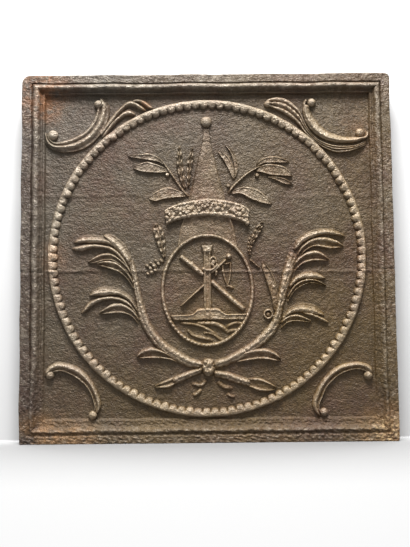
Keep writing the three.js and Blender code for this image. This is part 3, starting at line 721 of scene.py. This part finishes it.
carving(
    "scroll_top_right",
    blade(
        [(172, 543), (172, 534), (180, 521), (195, 504), (211, 495), (227, 491), (243, 490), (257, 490)],
        [(158, 545), (158, 527), (164, 511), (175, 496), (194, 484), (217, 479), (243, 480), (264, 489)],
        1.1 * SCROLL, back(0.68, (0.84, 0.05, 0.2)), steps=110, columns=25, ends=(0.03, 0.06),
    ),
    strand([(162, 538), (161, 545), (165, 552)], 6, SCROLL, steps=24, ends=BLUNT),
    strand([(251, 485), (261, 489), (263, 498)], 6, SCROLL, steps=24, ends=BLUNT),
    ball((173, 547), 15, SCROLL_BALL),
    ball((251, 496), 15, SCROLL_BALL),
)
carving(
    "acanthus_top_right",
    blade(
        [(94, 545), (101, 553), (114, 557), (126, 556), (138, 550), (152, 536), (160, 516), (174, 493),
         (194, 480), (217, 475), (243, 476), (263, 484)],
        [(97, 539), (104, 540), (112, 536), (120, 532), (134, 524), (151, 509), (164, 492), (184, 475),
         (206, 464), (222, 463), (238, 466), (260, 475)],
        ACANTHUS, banded, steps=150, columns=31, ends=(0.04, 0.06),
    ),
    ball((101, 545), 12, 1.1 * ACANTHUS),
)
carving(
    "scroll_bottom_left",
    blade(
        [(-262, 106), (-260, 115), (-253, 124), (-239, 129), (-220, 126), (-203, 118), (-189, 104),
         (-179, 89), (-172, 72), (-170, 58), (-175, 46)],
        [(-250, 108), (-246, 112), (-240, 113), (-230, 112), (-218, 106), (-206, 98), (-195, 88),
         (-188, 76), (-184, 64), (-182, 56), (-184, 49)],
        SCROLL, LOWER_SECTION, steps=100, columns=23, ends=(0.04, 0.05),
    ),
    ball((-252, 108), 15, SCROLL_BALL),
    ball((-184, 44), 15, SCROLL_BALL),
)
carving(
    "scroll_bottom_right",
    blade(
        [(263, 105), (261, 115), (254, 121), (241, 125), (223, 124), (206, 119), (189, 107), (177, 93),
         (169, 78), (163, 61), (166, 48), (175, 37)],
        [(252, 104), (248, 109), (241, 111), (230, 111), (220, 108), (209, 103), (198, 94), (188, 83),
         (182, 70), (177, 60), (176, 52), (178, 44)],
        SCROLL, LOWER_SECTION, steps=100, columns=23, ends=(0.04, 0.05),
    ),
    ball((254, 103), 15, SCROLL_BALL),
    ball((182, 46), 14, SCROLL_BALL),
)

# ---- Obelisk and finial --------------------------------------------------------------------------
# A thin flat board in the shape of an obelisk, with a fine raised edge, topped by a ball. It stands
# behind the chaplet and the medallion, and shows again between the two.

OBELISK = 3.1
OBELISK_TOP = 505.0
# Half its width, against the height on the plate.
TAPER = np.array([(306, 50), (340, 44), (383, 31), (483, 7.2), (505, 4.2)])
FINIAL_WIDTH, FINIAL_HEIGHT = 19.0, 8.5
OVAL_X, OVAL_Z = -0.5, 241.0
OVAL_WIDTH, OVAL_HEIGHT = 152.0, 184.0
MOULD_WIDTH, MOULD_HEIGHT, ROPE_TURNS = 7.6, 5.8, 74


def obelisk():
    """Rows run from the point down to the medallion's moulding, whose oval the last rows follow, on
    the face and inside the plate. The board is flat, with a fine raised line along both edges and
    one joint across near the point."""
    across = np.sin(np.linspace(-np.pi / 2, np.pi / 2, 41))[None, :]
    along = np.linspace(0, 1, 140)[:, None]
    half_width, half_height = (OVAL_WIDTH - MOULD_WIDTH) / 2, (OVAL_HEIGHT - MOULD_WIDTH) / 2
    foot = OVAL_Z + half_height * np.sqrt(1 - (TAPER[0, 1] * across / half_width) ** 2)
    z = OBELISK_TOP - (OBELISK_TOP - foot) * along
    x = np.interp(z, *TAPER.T) * across
    edge = 0.5 * bell(np.abs(across) - 0.95, 0.035)
    joint = 0.35 * bell(along - 0.12, 0.006)
    lift = OBELISK * (0.8 + edge - joint) * between(across, -1, 1, 0.025)
    lift = np.vstack([lift, np.full((1, across.size), -2.0)])
    return crust(np.vstack([x, x[-1:]]), np.vstack([z, z[-1:] - 0.2]), lift)


carving("obelisk", obelisk())
carving("finial_ball", ball((0, 516), FINIAL_WIDTH, FINIAL_HEIGHT))

# ---- Medallion ring ------------------------------------------------------------------------------
# An oval moulding, plain and half round above, and fuller below, where it is notched like a rope.


def medallion_ring():
    """A hump carried round the oval, with the rope's slanting notches fading in below its middle."""
    turn = np.linspace(0, 2 * np.pi, 420, endpoint=False)[:, None]
    across = np.linspace(-1, 1, 13)[None, :]
    half_width = (OVAL_WIDTH - MOULD_WIDTH) / 2 + across * MOULD_WIDTH / 2
    half_height = (OVAL_HEIGHT - MOULD_WIDTH) / 2 + across * MOULD_WIDTH / 2
    x, z = OVAL_X + half_width * np.cos(turn), OVAL_Z + half_height * np.sin(turn)
    low = step(-np.sin(turn) * 1.6)
    rope = 1 + 0.18 * low * np.sin(ROPE_TURNS * turn + 2 * across) + 0.05 * waves(x, z, 6, 20, 61)
    return crust(x, z, MOULD_HEIGHT * (0.92 + 0.08 * low) * hump(across) * rope, ring=True)


carving("medallion_ring", medallion_ring())

# ---- Rose chaplet --------------------------------------------------------------------------------
# A shallow arched band between two rolled edges, crowded with roses, buds and leaves that the sand has
# taken up as one lumpy mass.

CHAPLET, ROSE_WIDTH, ROSE_HEIGHT = 5.2, 13.5, 7.8
CHAPLET_TOP = [(-69, 371), (-60, 377), (-39, 384), (0, 390), (39, 385), (60, 378), (69, 371)]
CHAPLET_FOOT = [(-66, 346), (-57, 350), (-37, 356), (0, 360), (36, 356), (56, 350), (65, 344)]
BUD_COUNT = 64


def rose(place, turn):
    """A rose: over the polar grid of share and angle the height is a dome scalloped by five petals,
    with a groove round a small round heart."""
    sides, levels = 30, np.array([1, 1, 0.94, 0.84, 0.72, 0.6, 0.5, 0.4, 0.3, 0.18, 0.06])
    angle = np.linspace(0, 2 * np.pi, sides, endpoint=False)[None, :]
    share = levels[:, None]
    petals = np.abs(np.cos(2.5 * (angle + turn)))
    reach = ROSE_WIDTH / 2 * share * (0.84 + 0.2 * petals)
    x, z = place[0] + reach * np.cos(angle), place[1] + reach * np.sin(angle)
    dome = np.sqrt(np.clip(1.02 - share**2, 0, 1)) * (0.72 + 0.28 * petals * step(2.5 * share - 0.4))
    groove = 0.3 * bell(share - 0.42, 0.12)
    y = FACE - ground(x, z) - ROSE_HEIGHT * (dome - groove) + SINK
    y[0] = FACE + FOOT
    return np.stack([x, y, z], -1).reshape(-1, 3), tube(len(levels), sides)


def rolled(across, along):
    """The band's floor between two round edges, both a little wavy like slack rope."""
    twist = 1 + 0.10 * np.sin(2 * np.pi * (13 * along + 0.7 * across))
    edges = 1.2 * hump((across - 0.13) / 0.15) + 1.45 * hump((across - 0.84) / 0.19)
    return np.maximum(edges * twist, 0.9) * between(across, 0, 1, 0.03)


chaplet_middle = (through(CHAPLET_TOP, 101) + through(CHAPLET_FOOT, 101)) / 2
chaplet_parts = [
    blade(CHAPLET_TOP, CHAPLET_FOOT, CHAPLET, rolled, steps=150, columns=29, ends=(0.004, 0.004)),
]
for k, share in enumerate(np.linspace(0.075, 0.925, 9)):
    place = chaplet_middle[int(100 * share)] + np.array([0, 1.8 * (-1) ** k])
    chaplet_parts.append(rose(place, 0.7 * k))
draw = np.random.default_rng(17)
bud_share = np.linspace(0.02, 0.98, BUD_COUNT) + draw.uniform(-0.01, 0.01, BUD_COUNT)
bud_x, bud_z = (np.interp(bud_share, np.linspace(0, 1, 101), line) for line in chaplet_middle.T)
bud_places = np.stack([bud_x, bud_z + draw.uniform(-10.5, 9.5, BUD_COUNT)], -1)
chaplet_parts.append(domes(
    bud_places, draw.uniform(6.5, 9.5, BUD_COUNT), draw.uniform(7.4, 9.2, BUD_COUNT),
    sides=14, stretch=1.35, heading=draw.uniform(0, np.pi, BUD_COUNT),
))
carving("rose_chaplet", *chaplet_parts)

# ---- Emblem in the medallion ---------------------------------------------------------------------
# A post bound with a cord stands on a bank of ground over water, with a staff and a sword crossed
# behind it and a small pennant. All is shallow and crisp, cut with a narrow gouge.

EMBLEM, BANK = 6.4, 4.4
GROOVED = ridges((0.22, 0.2, 1.0), (0.78, 0.18, 0.95), floor=0.55)

carving(
    "emblem_post",
    blade([(-8, 306), (-7, 296), (-7.5, 250), (-7, 192)], [(7, 306), (6.5, 296), (6.5, 250), (6.5, 192)],
          EMBLEM, GROOVED, steps=80, ends=(0.01, 0.02)),
    blade([(-11, 313), (-9, 307), (-7, 300)], [(10, 313), (8, 307), (7, 300)], EMBLEM + 1.4,
          ridges((0.16, 0.2, 1.0), (0.84, 0.2, 1.0), floor=0.85), steps=24, ends=(0.05, 0.3)),
)
carving(
    "emblem_ground",
    blade(
        [(-61, 201), (-36, 202), (-24, 204), (-17, 211), (-6, 213), (6, 213), (17, 212), (24, 206),
         (31, 203), (63, 203)],
        [(-55, 193), (-36, 193), (-24, 193), (-15, 192), (-5, 192), (5, 192), (15, 192), (24, 193),
         (33, 193), (58, 193)],
        BANK, ridges((0.18, 0.18, 1.35), floor=1.0), steps=90, columns=17, ends=(0.02, 0.02),
    ),
    strand([(-45, 189), (-21, 186), (-4, 180), (15, 168)], 7.0, 3.8, ends=(0.2, 0.3)),
    strand([(-20, 188), (-4, 188), (11, 187), (23, 181), (31, 174)], 9.0, 4.6, ends=(0.3, 0.2)),
    strand([(29, 180), (37, 186), (46, 188), (60, 186)], 7.0, 3.6, ends=(0.2, 0.3)),
    strand([(-33, 178), (-24, 169), (-7, 164), (8, 160)], 7.0, 3.4, ends=(0.2, 0.3)),
    strand([(-54, 184), (-47, 172), (-36, 163)], 7.0, 3.2, ends=(0.2, 0.3)),
    strand([(28, 172), (38, 176), (50, 176)], 6.5, 3.0, ends=BLUNT),
    strand([(-8, 173), (6, 171), (20, 162), (28, 160)], 6.5, 3.0, ends=BLUNT),
)
carving(
    "post_cord",
    strand([(3, 284), (5, 291), (9, 294), (13, 291), (14, 284)], 5.5, 0.9 * EMBLEM),
    strand([(-8, 277), (-2, 273), (6, 273), (12, 277), (17, 283)], 6, EMBLEM + 1),
    strand([(6, 284), (11, 278), (14, 270), (13, 263)], 6, 0.9 * EMBLEM),
    ball((9, 286), 11, 0.8 * EMBLEM),
    ball((-6, 275), 7, EMBLEM + 1.4),
)
carving(
    "staff_head",
    strand([(-6, 265), (-24, 280), (-44, 296)], 10, EMBLEM, ends=(0.05, 0.04)),
    strand([(-21, 275), (-27, 287)], 8, EMBLEM + 0.4, steps=20, ends=BLUNT),
)
carving("staff_foot", strand([(58, 209), (30, 233), (5, 256)], 10, EMBLEM, ends=(0.05, 0.05)))
carving(
    "sword_blade",
    strand([(-5, 250), (-24, 233), (-44, 215)], 5.5, EMBLEM, swell=lambda s: 1 - 0.5 * s,
           ends=(0.05, 0.15)),
)
carving(
    "sword_hilt",
    strand([(5, 268), (16, 277), (30, 290)], 6, EMBLEM, ends=(0.1, 0.1)),
    strand([(13, 285), (21, 275)], 4.5, EMBLEM, steps=20, ends=BLUNT),
    ball((34.5, 295), 10, EMBLEM + 1),
)
carving(
    "pennant",
    strand([(24, 284), (25, 270), (29, 255), (33, 246)], 4.4, BANK, steps=36),
    strand([(37, 286), (37, 272), (35, 258), (32, 247)], 4.4, BANK, steps=36),
    strand([(23, 285), (30, 283), (38, 286)], 3.6, BANK, steps=24),
    strand([(29, 247), (35, 247), (41, 243)], 5.5, BANK, steps=20, ends=BLUNT),
)

# ---- Knot, stems and ribbon ----------------------------------------------------------------------
# Two leafy branches cross below the medallion and are tied there. Their stems are barked on the
# upper side, and both cut ends show below the knot with the ends of the ribbon.

STEM, KNOT, RIBBON = 6.6, 8.5, 4.2


def barked(across, along):
    """A stem's section: a back with its crest near the first edge and a shallow groove below it; it
    swells and shrinks a little along the crest."""
    knobs = 0.03 * np.sin(2 * np.pi * 37 * along) + 0.05 * np.sin(2 * np.pi * (23 * along + 0.6))
    return back(0.36, (0.60, 0.07, 0.16))(across, along) * (1 + knobs * bell(across - 0.3, 0.2))


carving(
    "branch_knot",
    blade([(-6, 132), (-11, 128), (-13, 119), (-11, 110), (-6, 104)],
          [(6, 132), (10, 128), (12, 119), (11, 110), (6, 104)],
          KNOT, plump, steps=40, ends=(0.25, 0.2), rough=0.8),
    ball((-4, 126), 9, KNOT + 0.8),
    ball((4, 113), 10, KNOT + 0.8),
)
carving(
    "left_branch_stem",
    blade(
        [(-7, 127), (-27, 134), (-50, 148), (-69, 161), (-82, 176), (-92, 192), (-98, 210), (-104, 228),
         (-109, 250), (-114, 274), (-119, 294)],
        [(-10, 115), (-34, 118), (-58, 129), (-82, 147), (-98, 168), (-110, 190), (-115, 214), (-119, 238),
         (-122, 256), (-125, 272), (-127, 286)],
        STEM, barked, steps=170, columns=21, ends=(0.03, 0.1), rough=0.32,
    ),
)
carving(
    "right_branch_stem",
    blade(
        [(7, 130), (21, 133), (37, 140), (54, 149), (71, 160), (86, 174), (98, 188), (105, 203), (109, 219),
         (113, 240), (119, 266), (130, 303)],
        [(9, 114), (21, 116), (37, 122), (54, 129), (72, 141), (90, 153), (106, 168), (117, 188),
         (122, 212), (130, 240), (139, 270), (147, 297)],
        STEM, barked, steps=180, columns=21, ends=(0.03, 0.1), rough=0.32,
    ),
    strand([(118, 232), (125, 247), (131, 262)], 4, STEM, steps=24, ends=BLUNT),
    strand([(121, 250), (129, 268), (137, 286)], 4, STEM, steps=24, ends=BLUNT),
)
carving(
    "left_cut_end",
    blade([(-9, 120), (-28, 115), (-44, 109), (-59, 104)], [(-12, 107), (-28, 101), (-44, 94), (-56, 88)],
          STEM, barked, steps=60, ends=(0.05, 0.1), rough=0.32),
    blade([(-53, 105), (-66, 100), (-82, 92), (-87, 88)], [(-52, 89), (-64, 84), (-78, 85), (-86, 87)],
          0.85 * STEM, ridges((0.2, 0.2, 0.8), (0.72, 0.2, 1.0), floor=0.4), steps=40, ends=(0.2, 0.25)),
)
carving(
    "right_cut_end",
    blade([(9, 114), (29, 112), (47, 106), (67, 99)], [(8, 102), (29, 96), (46, 90), (66, 85)],
          STEM, barked, steps=60, ends=(0.05, 0.1), rough=0.32),
    blade([(62, 101), (80, 101), (93, 96), (108, 86)], [(62, 86), (79, 79), (94, 78), (107, 82)],
          0.85 * STEM, ridges((0.15, 0.14, 1.0), (0.85, 0.13, 0.9), floor=0.45), steps=40,
          ends=(0.2, 0.15)),
)
carving(
    "left_ribbon_end",
    strand([(-4, 98), (-12, 90), (-27, 92)], 8, RIBBON, steps=30, ends=BLUNT),
    strand([(-12, 84), (-17, 78), (-25, 73)], 8, 0.9 * RIBBON, steps=30, ends=BLUNT),
)
carving(
    "right_ribbon_end",
    strand([(14, 95), (24, 87), (38, 84)], 9, RIBBON, steps=30, ends=BLUNT),
    strand([(29, 76), (35, 72), (42, 71)], 7, 0.9 * RIBBON, steps=30, ends=BLUNT),
)

# ---- Fronds --------------------------------------------------------------------------------------
# The branches' long leaves, in three kinds: full ones with fine grooves along the back, slim ones, and
# hollow ones whose raised rims catch the light. Each is drawn by its upper and lower edge, root to tip.

LEAF = 6.4
FULL = back(0.60, (0.26, 0.07, 0.20), (0.46, 0.06, 0.16))
SLIM = back(0.50)
HOLLOW = ridges((0.26, 0.21, 1.0), (0.87, 0.13, 0.85), floor=0.34)
FRONDS = {
    "left_frond_1": [
        ([(-120, 284), (-124, 301), (-136, 321), (-151, 332), (-160, 334), (-168, 332)],
         [(-128, 280), (-135, 293), (-148, 307), (-157, 316), (-163, 322), (-168, 330)], FULL),
        ([(-154, 322), (-164, 329), (-175, 332), (-196, 333), (-208, 328), (-216, 321)],
         [(-149, 310), (-158, 315), (-170, 317), (-196, 318), (-207, 318), (-215, 319)], FULL),
    ],
    "left_frond_2": [
        ([(-124, 276), (-138, 300), (-158, 314), (-187, 318), (-206, 317), (-219, 312)],
         [(-125, 267), (-138, 289), (-157, 306), (-183, 310), (-203, 304), (-218, 307)], SLIM),
    ],
    "left_frond_3": [
        ([(-120, 267), (-130, 283), (-149, 299), (-161, 303), (-173, 301), (-184, 295), (-193, 288)],
         [(-122, 259), (-131, 273), (-146, 286), (-161, 290), (-180, 286), (-192, 286)], HOLLOW),
        ([(-117, 250), (-127, 270), (-144, 287), (-157, 291), (-168, 290), (-179, 286)],
         [(-115, 237), (-127, 256), (-141, 269), (-160, 277), (-178, 283)], HOLLOW),
    ],
    "left_frond_4": [
        ([(-112, 214), (-120, 229), (-138, 244), (-162, 250), (-182, 245), (-191, 236)],
         [(-114, 207), (-128, 225), (-146, 233), (-168, 232), (-190, 233)], FULL),
    ],
    "left_frond_5": [
        ([(-114, 208), (-125, 223), (-143, 232), (-165, 233), (-186, 228), (-196, 219), (-204, 208)],
         [(-115, 201), (-127, 216), (-145, 225), (-166, 225), (-185, 216), (-194, 208), (-202, 204)], SLIM),
    ],
    "left_frond_6": [
        ([(-110, 197), (-120, 211), (-135, 221), (-151, 222), (-164, 215), (-174, 207)],
         [(-112, 186), (-121, 198), (-136, 204), (-155, 204), (-173, 204)], HOLLOW),
    ],
    "left_frond_7": [
        ([(-62, 138), (-71, 144), (-81, 149), (-92, 152), (-98, 151), (-106, 148), (-111, 143),
          (-115, 136)],
         [(-46, 124), (-58, 129), (-71, 131), (-92, 132), (-113, 133)], HOLLOW),
    ],
    "right_frond_1": [
        ([(135, 309), (148, 327), (166, 336), (186, 340), (208, 337), (223, 328)],
         [(142, 302), (155, 315), (172, 324), (190, 328), (206, 327), (222, 325)], FULL),
    ],
    "right_frond_2": [
        ([(143, 297), (153, 312), (172, 324), (190, 326), (209, 320), (220, 311)],
         [(147, 289), (158, 302), (174, 309), (197, 305), (219, 308)], HOLLOW),
    ],
    "right_frond_3": [
        ([(138, 283), (150, 296), (165, 304), (181, 303), (196, 290)],
         [(140, 269), (152, 280), (168, 285), (182, 286), (195, 286)], HOLLOW),
    ],
    "right_frond_4": [
        ([(129, 250), (143, 264), (157, 270), (173, 270), (190, 260)],
         [(132, 241), (144, 253), (159, 256), (175, 255), (189, 257)], SLIM),
    ],
    "right_frond_5": [
        ([(127, 230), (139, 248), (154, 257), (173, 257), (191, 248)],
         [(127, 218), (138, 236), (154, 247), (171, 250), (190, 244)], HOLLOW),
    ],
    "right_frond_6": [
        ([(117, 199), (130, 213), (148, 220), (158, 220), (169, 218), (178, 211), (187, 201)],
         [(120, 190), (132, 200), (148, 203), (168, 199), (186, 198)], FULL),
    ],
    "right_frond_7": [
        ([(116, 191), (129, 200), (145, 201), (166, 191)],
         [(116, 177), (128, 187), (145, 189), (165, 187)], HOLLOW),
    ],
    "right_frond_8": [
        ([(151, 206), (168, 203), (181, 198), (193, 189)], [(152, 201), (168, 196), (180, 190), (192, 186)],
         SLIM),
    ],
    "right_frond_9": [
        ([(48, 138), (58, 143), (67, 146), (77, 148), (87, 148), (97, 147), (105, 143), (111, 138),
          (116, 131)],
         [(43, 124), (63, 127), (85, 129), (104, 127), (115, 127)], HOLLOW),
    ],
    "right_frond_10": [
        ([(105, 206), (102, 226), (96, 246), (90, 266), (87, 276), (88, 286)],
         [(116, 209), (112, 238), (109, 256), (104, 268), (98, 278), (90, 287)],
         ridges((0.14, 0.13, 1.0), (0.86, 0.13, 1.0), floor=0.55)),
    ],
}
for node, leaves in FRONDS.items():
    carving(node, *(
        blade(upper, lower, LEAF, section, columns=23, ends=(0.15, 0.1), rough=0.25)
        for upper, lower, section in leaves
    ))
carving(
    "right_branch_berry",
    strand([(101, 196), (94, 195), (90, 201), (93, 207), (99, 208), (103, 202), (101, 196)], 4.6, 5.0,
           ends=(0.02, 0.02)),
    ball((96.5, 201.5), 9, 3.0),
    strand([(103, 200), (108, 196), (113, 194)], 4.5, 4, steps=20),
)

# ---- Sprigs and ears -----------------------------------------------------------------------------
# Rose sprigs rise beside the obelisk, and two toothed leaves stand at the medallion's shoulders. Their
# leaves are thin, drawn by raised edges and a midrib, and the edges of some are toothed.

SPRIG, BERRY = 4.5, 5.2
OUTLINED = ridges((0.15, 0.13, 1.0), (0.52, 0.09, 0.85), (0.87, 0.11, 1.0), floor=0.78)
RIMMED = ridges((0.24, 0.19, 1.0), (0.86, 0.12, 0.9), floor=0.74)


def toothed(across, along):
    """Both edges are rows of uneven teeth that slant towards the tip, either side of a midrib."""
    slant = along + 0.10 * np.abs(across - 0.5)
    teeth = 0.75 + 0.35 * np.sin(2 * np.pi * 5.3 * slant)
    teeth += 0.15 * np.sin(2 * np.pi * 8.1 * slant + 9 * across)
    left = hump((across - 0.22) / 0.26) * teeth
    right = hump((across - 0.78) / 0.26) * teeth[::-1]
    midrib = 0.8 * hump((across - 0.5) / 0.12) + 0 * along
    return np.maximum.reduce([left, right, midrib, 0.4 + 0 * left]) * between(across, 0, 1, 0.08)


def toothed_leaf(one_edge, other_edge, steps=64):
    return blade(one_edge, other_edge, 1.3 * SPRIG, toothed, steps=steps, ends=(0.05, 0.05))


def twig(line, width=5.0):
    return strand(line, width, SPRIG, swell=lambda s: 1 - 0.3 * s, ends=(0.1, 0.1))


carving(
    "upper_left_sprig",
    twig([(-30, 393), (-40, 405), (-51, 421), (-59, 433), (-68, 446), (-74, 455)]),
    blade([(-67, 447), (-80, 460), (-95, 466), (-108, 464), (-129, 462)],
          [(-66, 442), (-78, 450), (-95, 453), (-110, 456), (-128, 460)], SPRIG, RIMMED),
    blade([(-62, 437), (-75, 445), (-96, 452), (-110, 448), (-120, 443)],
          [(-61, 434), (-76, 432), (-95, 432), (-109, 435), (-120, 441)], SPRIG, OUTLINED),
    blade([(-33, 397), (-50, 406), (-65, 410), (-82, 403), (-94, 393)],
          [(-33, 393), (-50, 391), (-69, 388), (-84, 385), (-94, 390)], SPRIG, OUTLINED),
    toothed_leaf([(-36, 405), (-44, 421), (-49, 441), (-49, 458), (-45, 477)],
                 [(-33, 407), (-35, 421), (-37, 438), (-39, 458), (-42, 477)]),
    toothed_leaf([(-32, 409), (-32, 421), (-33, 441), (-30, 458), (-23, 475)],
                 [(-29, 408), (-26, 421), (-24, 438), (-21, 454), (-21, 474)]),
    ball((-64, 429), 8, BERRY),
)
carving(
    "upper_right_sprig",
    twig([(35, 397), (41, 407), (52, 418), (62, 427), (74, 435), (89, 443)]),
    blade([(80, 445), (88, 453), (102, 459), (118, 458), (135, 450)],
          [(82, 441), (92, 446), (106, 447), (120, 447), (135, 448)], SPRIG, RIMMED),
    blade([(84, 440), (97, 446), (112, 446), (128, 441), (140, 427)],
          [(78, 434), (92, 430), (105, 426), (123, 425), (140, 425)], SPRIG, OUTLINED),
    blade([(100, 426), (113, 425), (128, 422), (140, 413)],
          [(99, 424), (112, 419), (126, 412), (140, 411)], SPRIG, RIMMED, steps=40),
    blade([(39, 400), (51, 407), (67, 409), (84, 404), (96, 393), (106, 381)],
          [(40, 397), (56, 396), (71, 387), (88, 381), (105, 379)], SPRIG, OUTLINED),
    blade([(46, 420), (45, 440), (38, 457), (30, 464), (19, 469)],
          [(43, 420), (35, 437), (27, 452), (22, 460), (18, 468)], SPRIG, RIMMED),
    blade([(48, 424), (52, 441), (48, 458), (42, 470), (32, 478)],
          [(45, 424), (45, 440), (42, 455), (38, 466), (31, 477)], SPRIG, RIMMED),
    ball((82, 427), 8, BERRY),
    ball((35, 410), 7, BERRY),
)
carving(
    "left_ear",
    toothed_leaf([(-71, 292), (-80, 311), (-86, 327), (-89, 340), (-84, 350)],
                 [(-67, 294), (-67, 312), (-68, 328), (-72, 341), (-80, 350)]),
    domes([(-74, 289), (-79, 284), (-83, 289), (-86, 281), (-91, 285), (-92, 277), (-97, 281), (-90, 270),
           (-96, 268), (-84, 274)],
          [7, 6, 5, 8, 5, 6, 6, 6, 5, 5], 0.8 * BERRY, stretch=1.4, heading=2.4),
)
carving(
    "right_ear",
    toothed_leaf([(68, 308), (69, 320), (73, 332), (79, 343), (89, 352)],
                 [(71, 307), (76, 318), (82, 327), (89, 338), (92, 351)]),
    toothed_leaf([(66, 297), (64, 308), (66, 322), (71, 330)],
                 [(69, 296), (72, 306), (73, 318), (74, 328)], steps=50),
    twig([(68, 290), (75, 284), (84, 276)], 4),
)

# ---- Floor and backdrop --------------------------------------------------------------------------
# A white floor and a white wall close behind the plate, joined by a small sweep. It is seen from the
# front alone, so that the plate's back shows in the views from behind.

SWEEP_GAP, SWEEP_RADIUS = 12.0, 3.0
SWEEP_REACH, SWEEP_HEIGHT = 4000.0, 2500.0
FLOOR_WHITE, WALL_WHITE, UNSEEN_WHITE = 0.276, 0.88, 0.07


def sweep():
    """A quarter round joins floor and wall; the line of the three is drawn out sideways."""
    turn = np.linspace(0, np.pi / 2, 9)
    wall = BACK + SWEEP_GAP
    y = np.r_[-SWEEP_REACH, wall - SWEEP_RADIUS + SWEEP_RADIUS * np.sin(turn), wall]
    z = np.r_[0, SWEEP_RADIUS - SWEEP_RADIUS * np.cos(turn), SWEEP_HEIGHT]
    x = np.array([-SWEEP_REACH, SWEEP_REACH])[:, None]
    points = np.stack(np.broadcast_arrays(x, y[None, :], z[None, :]), -1).reshape(-1, 3)
    mesh = bpy.data.meshes.new("sweep")
    mesh.from_pydata((points / METRE).tolist(), [], quads(2, len(y))[:, ::-1].tolist())
    mesh.shade_smooth()
    return bpy.data.objects.new("sweep", mesh)


def seen(nodes, links):
    """One for a ray from the camera, a mirror or a glass, and zero for light passed on by surfaces."""
    path = nodes.new("ShaderNodeLightPath")
    either = path.outputs["Is Camera Ray"]
    for kind in ("Is Glossy Ray", "Is Transmission Ray"):
        node = nodes.new("ShaderNodeMath")
        node.operation = "MAXIMUM"
        links.new(either, node.inputs[0])
        links.new(path.outputs[kind], node.inputs[1])
        either = node.outputs[0]
    return either


def card():
    """Matt card, clear from behind. The lamps stand high, so it takes less white on the floor than on
    the wall to look as white; it passes little light on to the plate."""
    material = bpy.data.materials.new("white card")
    material.use_nodes = True
    nodes, links = material.node_tree.nodes, material.node_tree.links
    geometry = nodes.new("ShaderNodeNewGeometry")
    axes = nodes.new("ShaderNodeSeparateXYZ")
    links.new(geometry.outputs["Normal"], axes.inputs[0])
    white = nodes.new("ShaderNodeMapRange")
    white.inputs["To Min"].default_value = WALL_WHITE
    white.inputs["To Max"].default_value = FLOOR_WHITE
    links.new(axes.outputs["Z"], white.inputs["Value"])
    shown = nodes.new("ShaderNodeMapRange")
    shown.inputs["To Min"].default_value = UNSEEN_WHITE
    links.new(seen(nodes, links), shown.inputs["Value"])
    links.new(white.outputs["Result"], shown.inputs["To Max"])
    front = nodes.new("ShaderNodeBsdfDiffuse")
    links.new(shown.outputs["Result"], front.inputs["Color"])
    either = nodes.new("ShaderNodeMixShader")
    links.new(geometry.outputs["Backfacing"], either.inputs[0])
    links.new(front.outputs[0], either.inputs[1])
    links.new(nodes.new("ShaderNodeBsdfTransparent").outputs[0], either.inputs[2])
    links.new(either.outputs[0], nodes["Material Output"].inputs["Surface"])
    return material


backdrop = sweep()
bpy.context.scene.collection.objects.link(backdrop)
backdrop.data.materials.append(card())
backdrop.visible_shadow = False

# ---- Light and camera ----------------------------------------------------------------------------
# One soft lamp high in front, a little to the left, one over and behind the plate that gives the floor
# its shadow, and a faint surround. The camera's place comes from the plate's corners in the photograph.


def soft_lamp(name, place, target, width, height, watts):
    light = bpy.data.lights.new(name, "AREA")
    light.shape = "RECTANGLE"
    light.size, light.size_y, light.energy = width / METRE, height / METRE, watts
    lamp = bpy.data.objects.new(name, light)
    bpy.context.scene.collection.objects.link(lamp)
    lamp.location = Vector(place) / METRE
    lamp.rotation_euler = (Vector(target) - Vector(place)).to_track_quat("-Z", "Y").to_euler()


soft_lamp("high lamp", place=(-55, -820, 2200), target=(0, 0, 300), width=1000, height=600, watts=107)
soft_lamp("back lamp", place=(0, 430, 2100), target=(0, 0, 0), width=2400, height=760, watts=100)
SURROUND = 0.22

world = bpy.data.worlds.new("surround")
bpy.context.scene.world = world
world.use_nodes = True
sky_nodes, sky_links = world.node_tree.nodes, world.node_tree.links
level = sky_nodes.new("ShaderNodeMapRange")
level.inputs["To Min"].default_value = SURROUND
sky_links.new(seen(sky_nodes, sky_links), level.inputs["Value"])
sky_links.new(level.outputs["Result"], sky_nodes["Background"].inputs["Strength"])
sky_nodes["Background"].inputs["Color"].default_value = (1, 1, 1, 1)

RIM_FACE = FACE - RIM
CAMERA_AWAY, CAMERA_X, CAMERA_Z = 1200.0, -7.9, 170.9
PITCH, YAW, ROLL = math.radians(4.59), math.radians(0.175), math.radians(-0.558)
FOCAL_PIXELS, PHOTO_HEIGHT, SENSOR = 752.9, 547, 36.0

camera = bpy.data.objects.new("camera", bpy.data.cameras.new("camera"))
bpy.context.scene.collection.objects.link(camera)
bpy.context.scene.camera = camera
camera.data.sensor_width = SENSOR
camera.data.lens = FOCAL_PIXELS * SENSOR / PHOTO_HEIGHT
camera.data.clip_end = 50
ahead = Vector((
    math.sin(YAW) * math.cos(PITCH),
    math.cos(YAW) * math.cos(PITCH),
    math.sin(PITCH),
))
level_right = ahead.cross(Vector((0, 0, 1))).normalized()
level_up = level_right.cross(ahead)
right = math.cos(ROLL) * level_right + math.sin(ROLL) * level_up
up = -math.sin(ROLL) * level_right + math.cos(ROLL) * level_up
camera.matrix_world = Matrix.Translation(
    Vector((CAMERA_X, RIM_FACE - CAMERA_AWAY, CAMERA_Z)) / METRE
) @ Matrix((right, up, -ahead)).transposed().to_4x4()
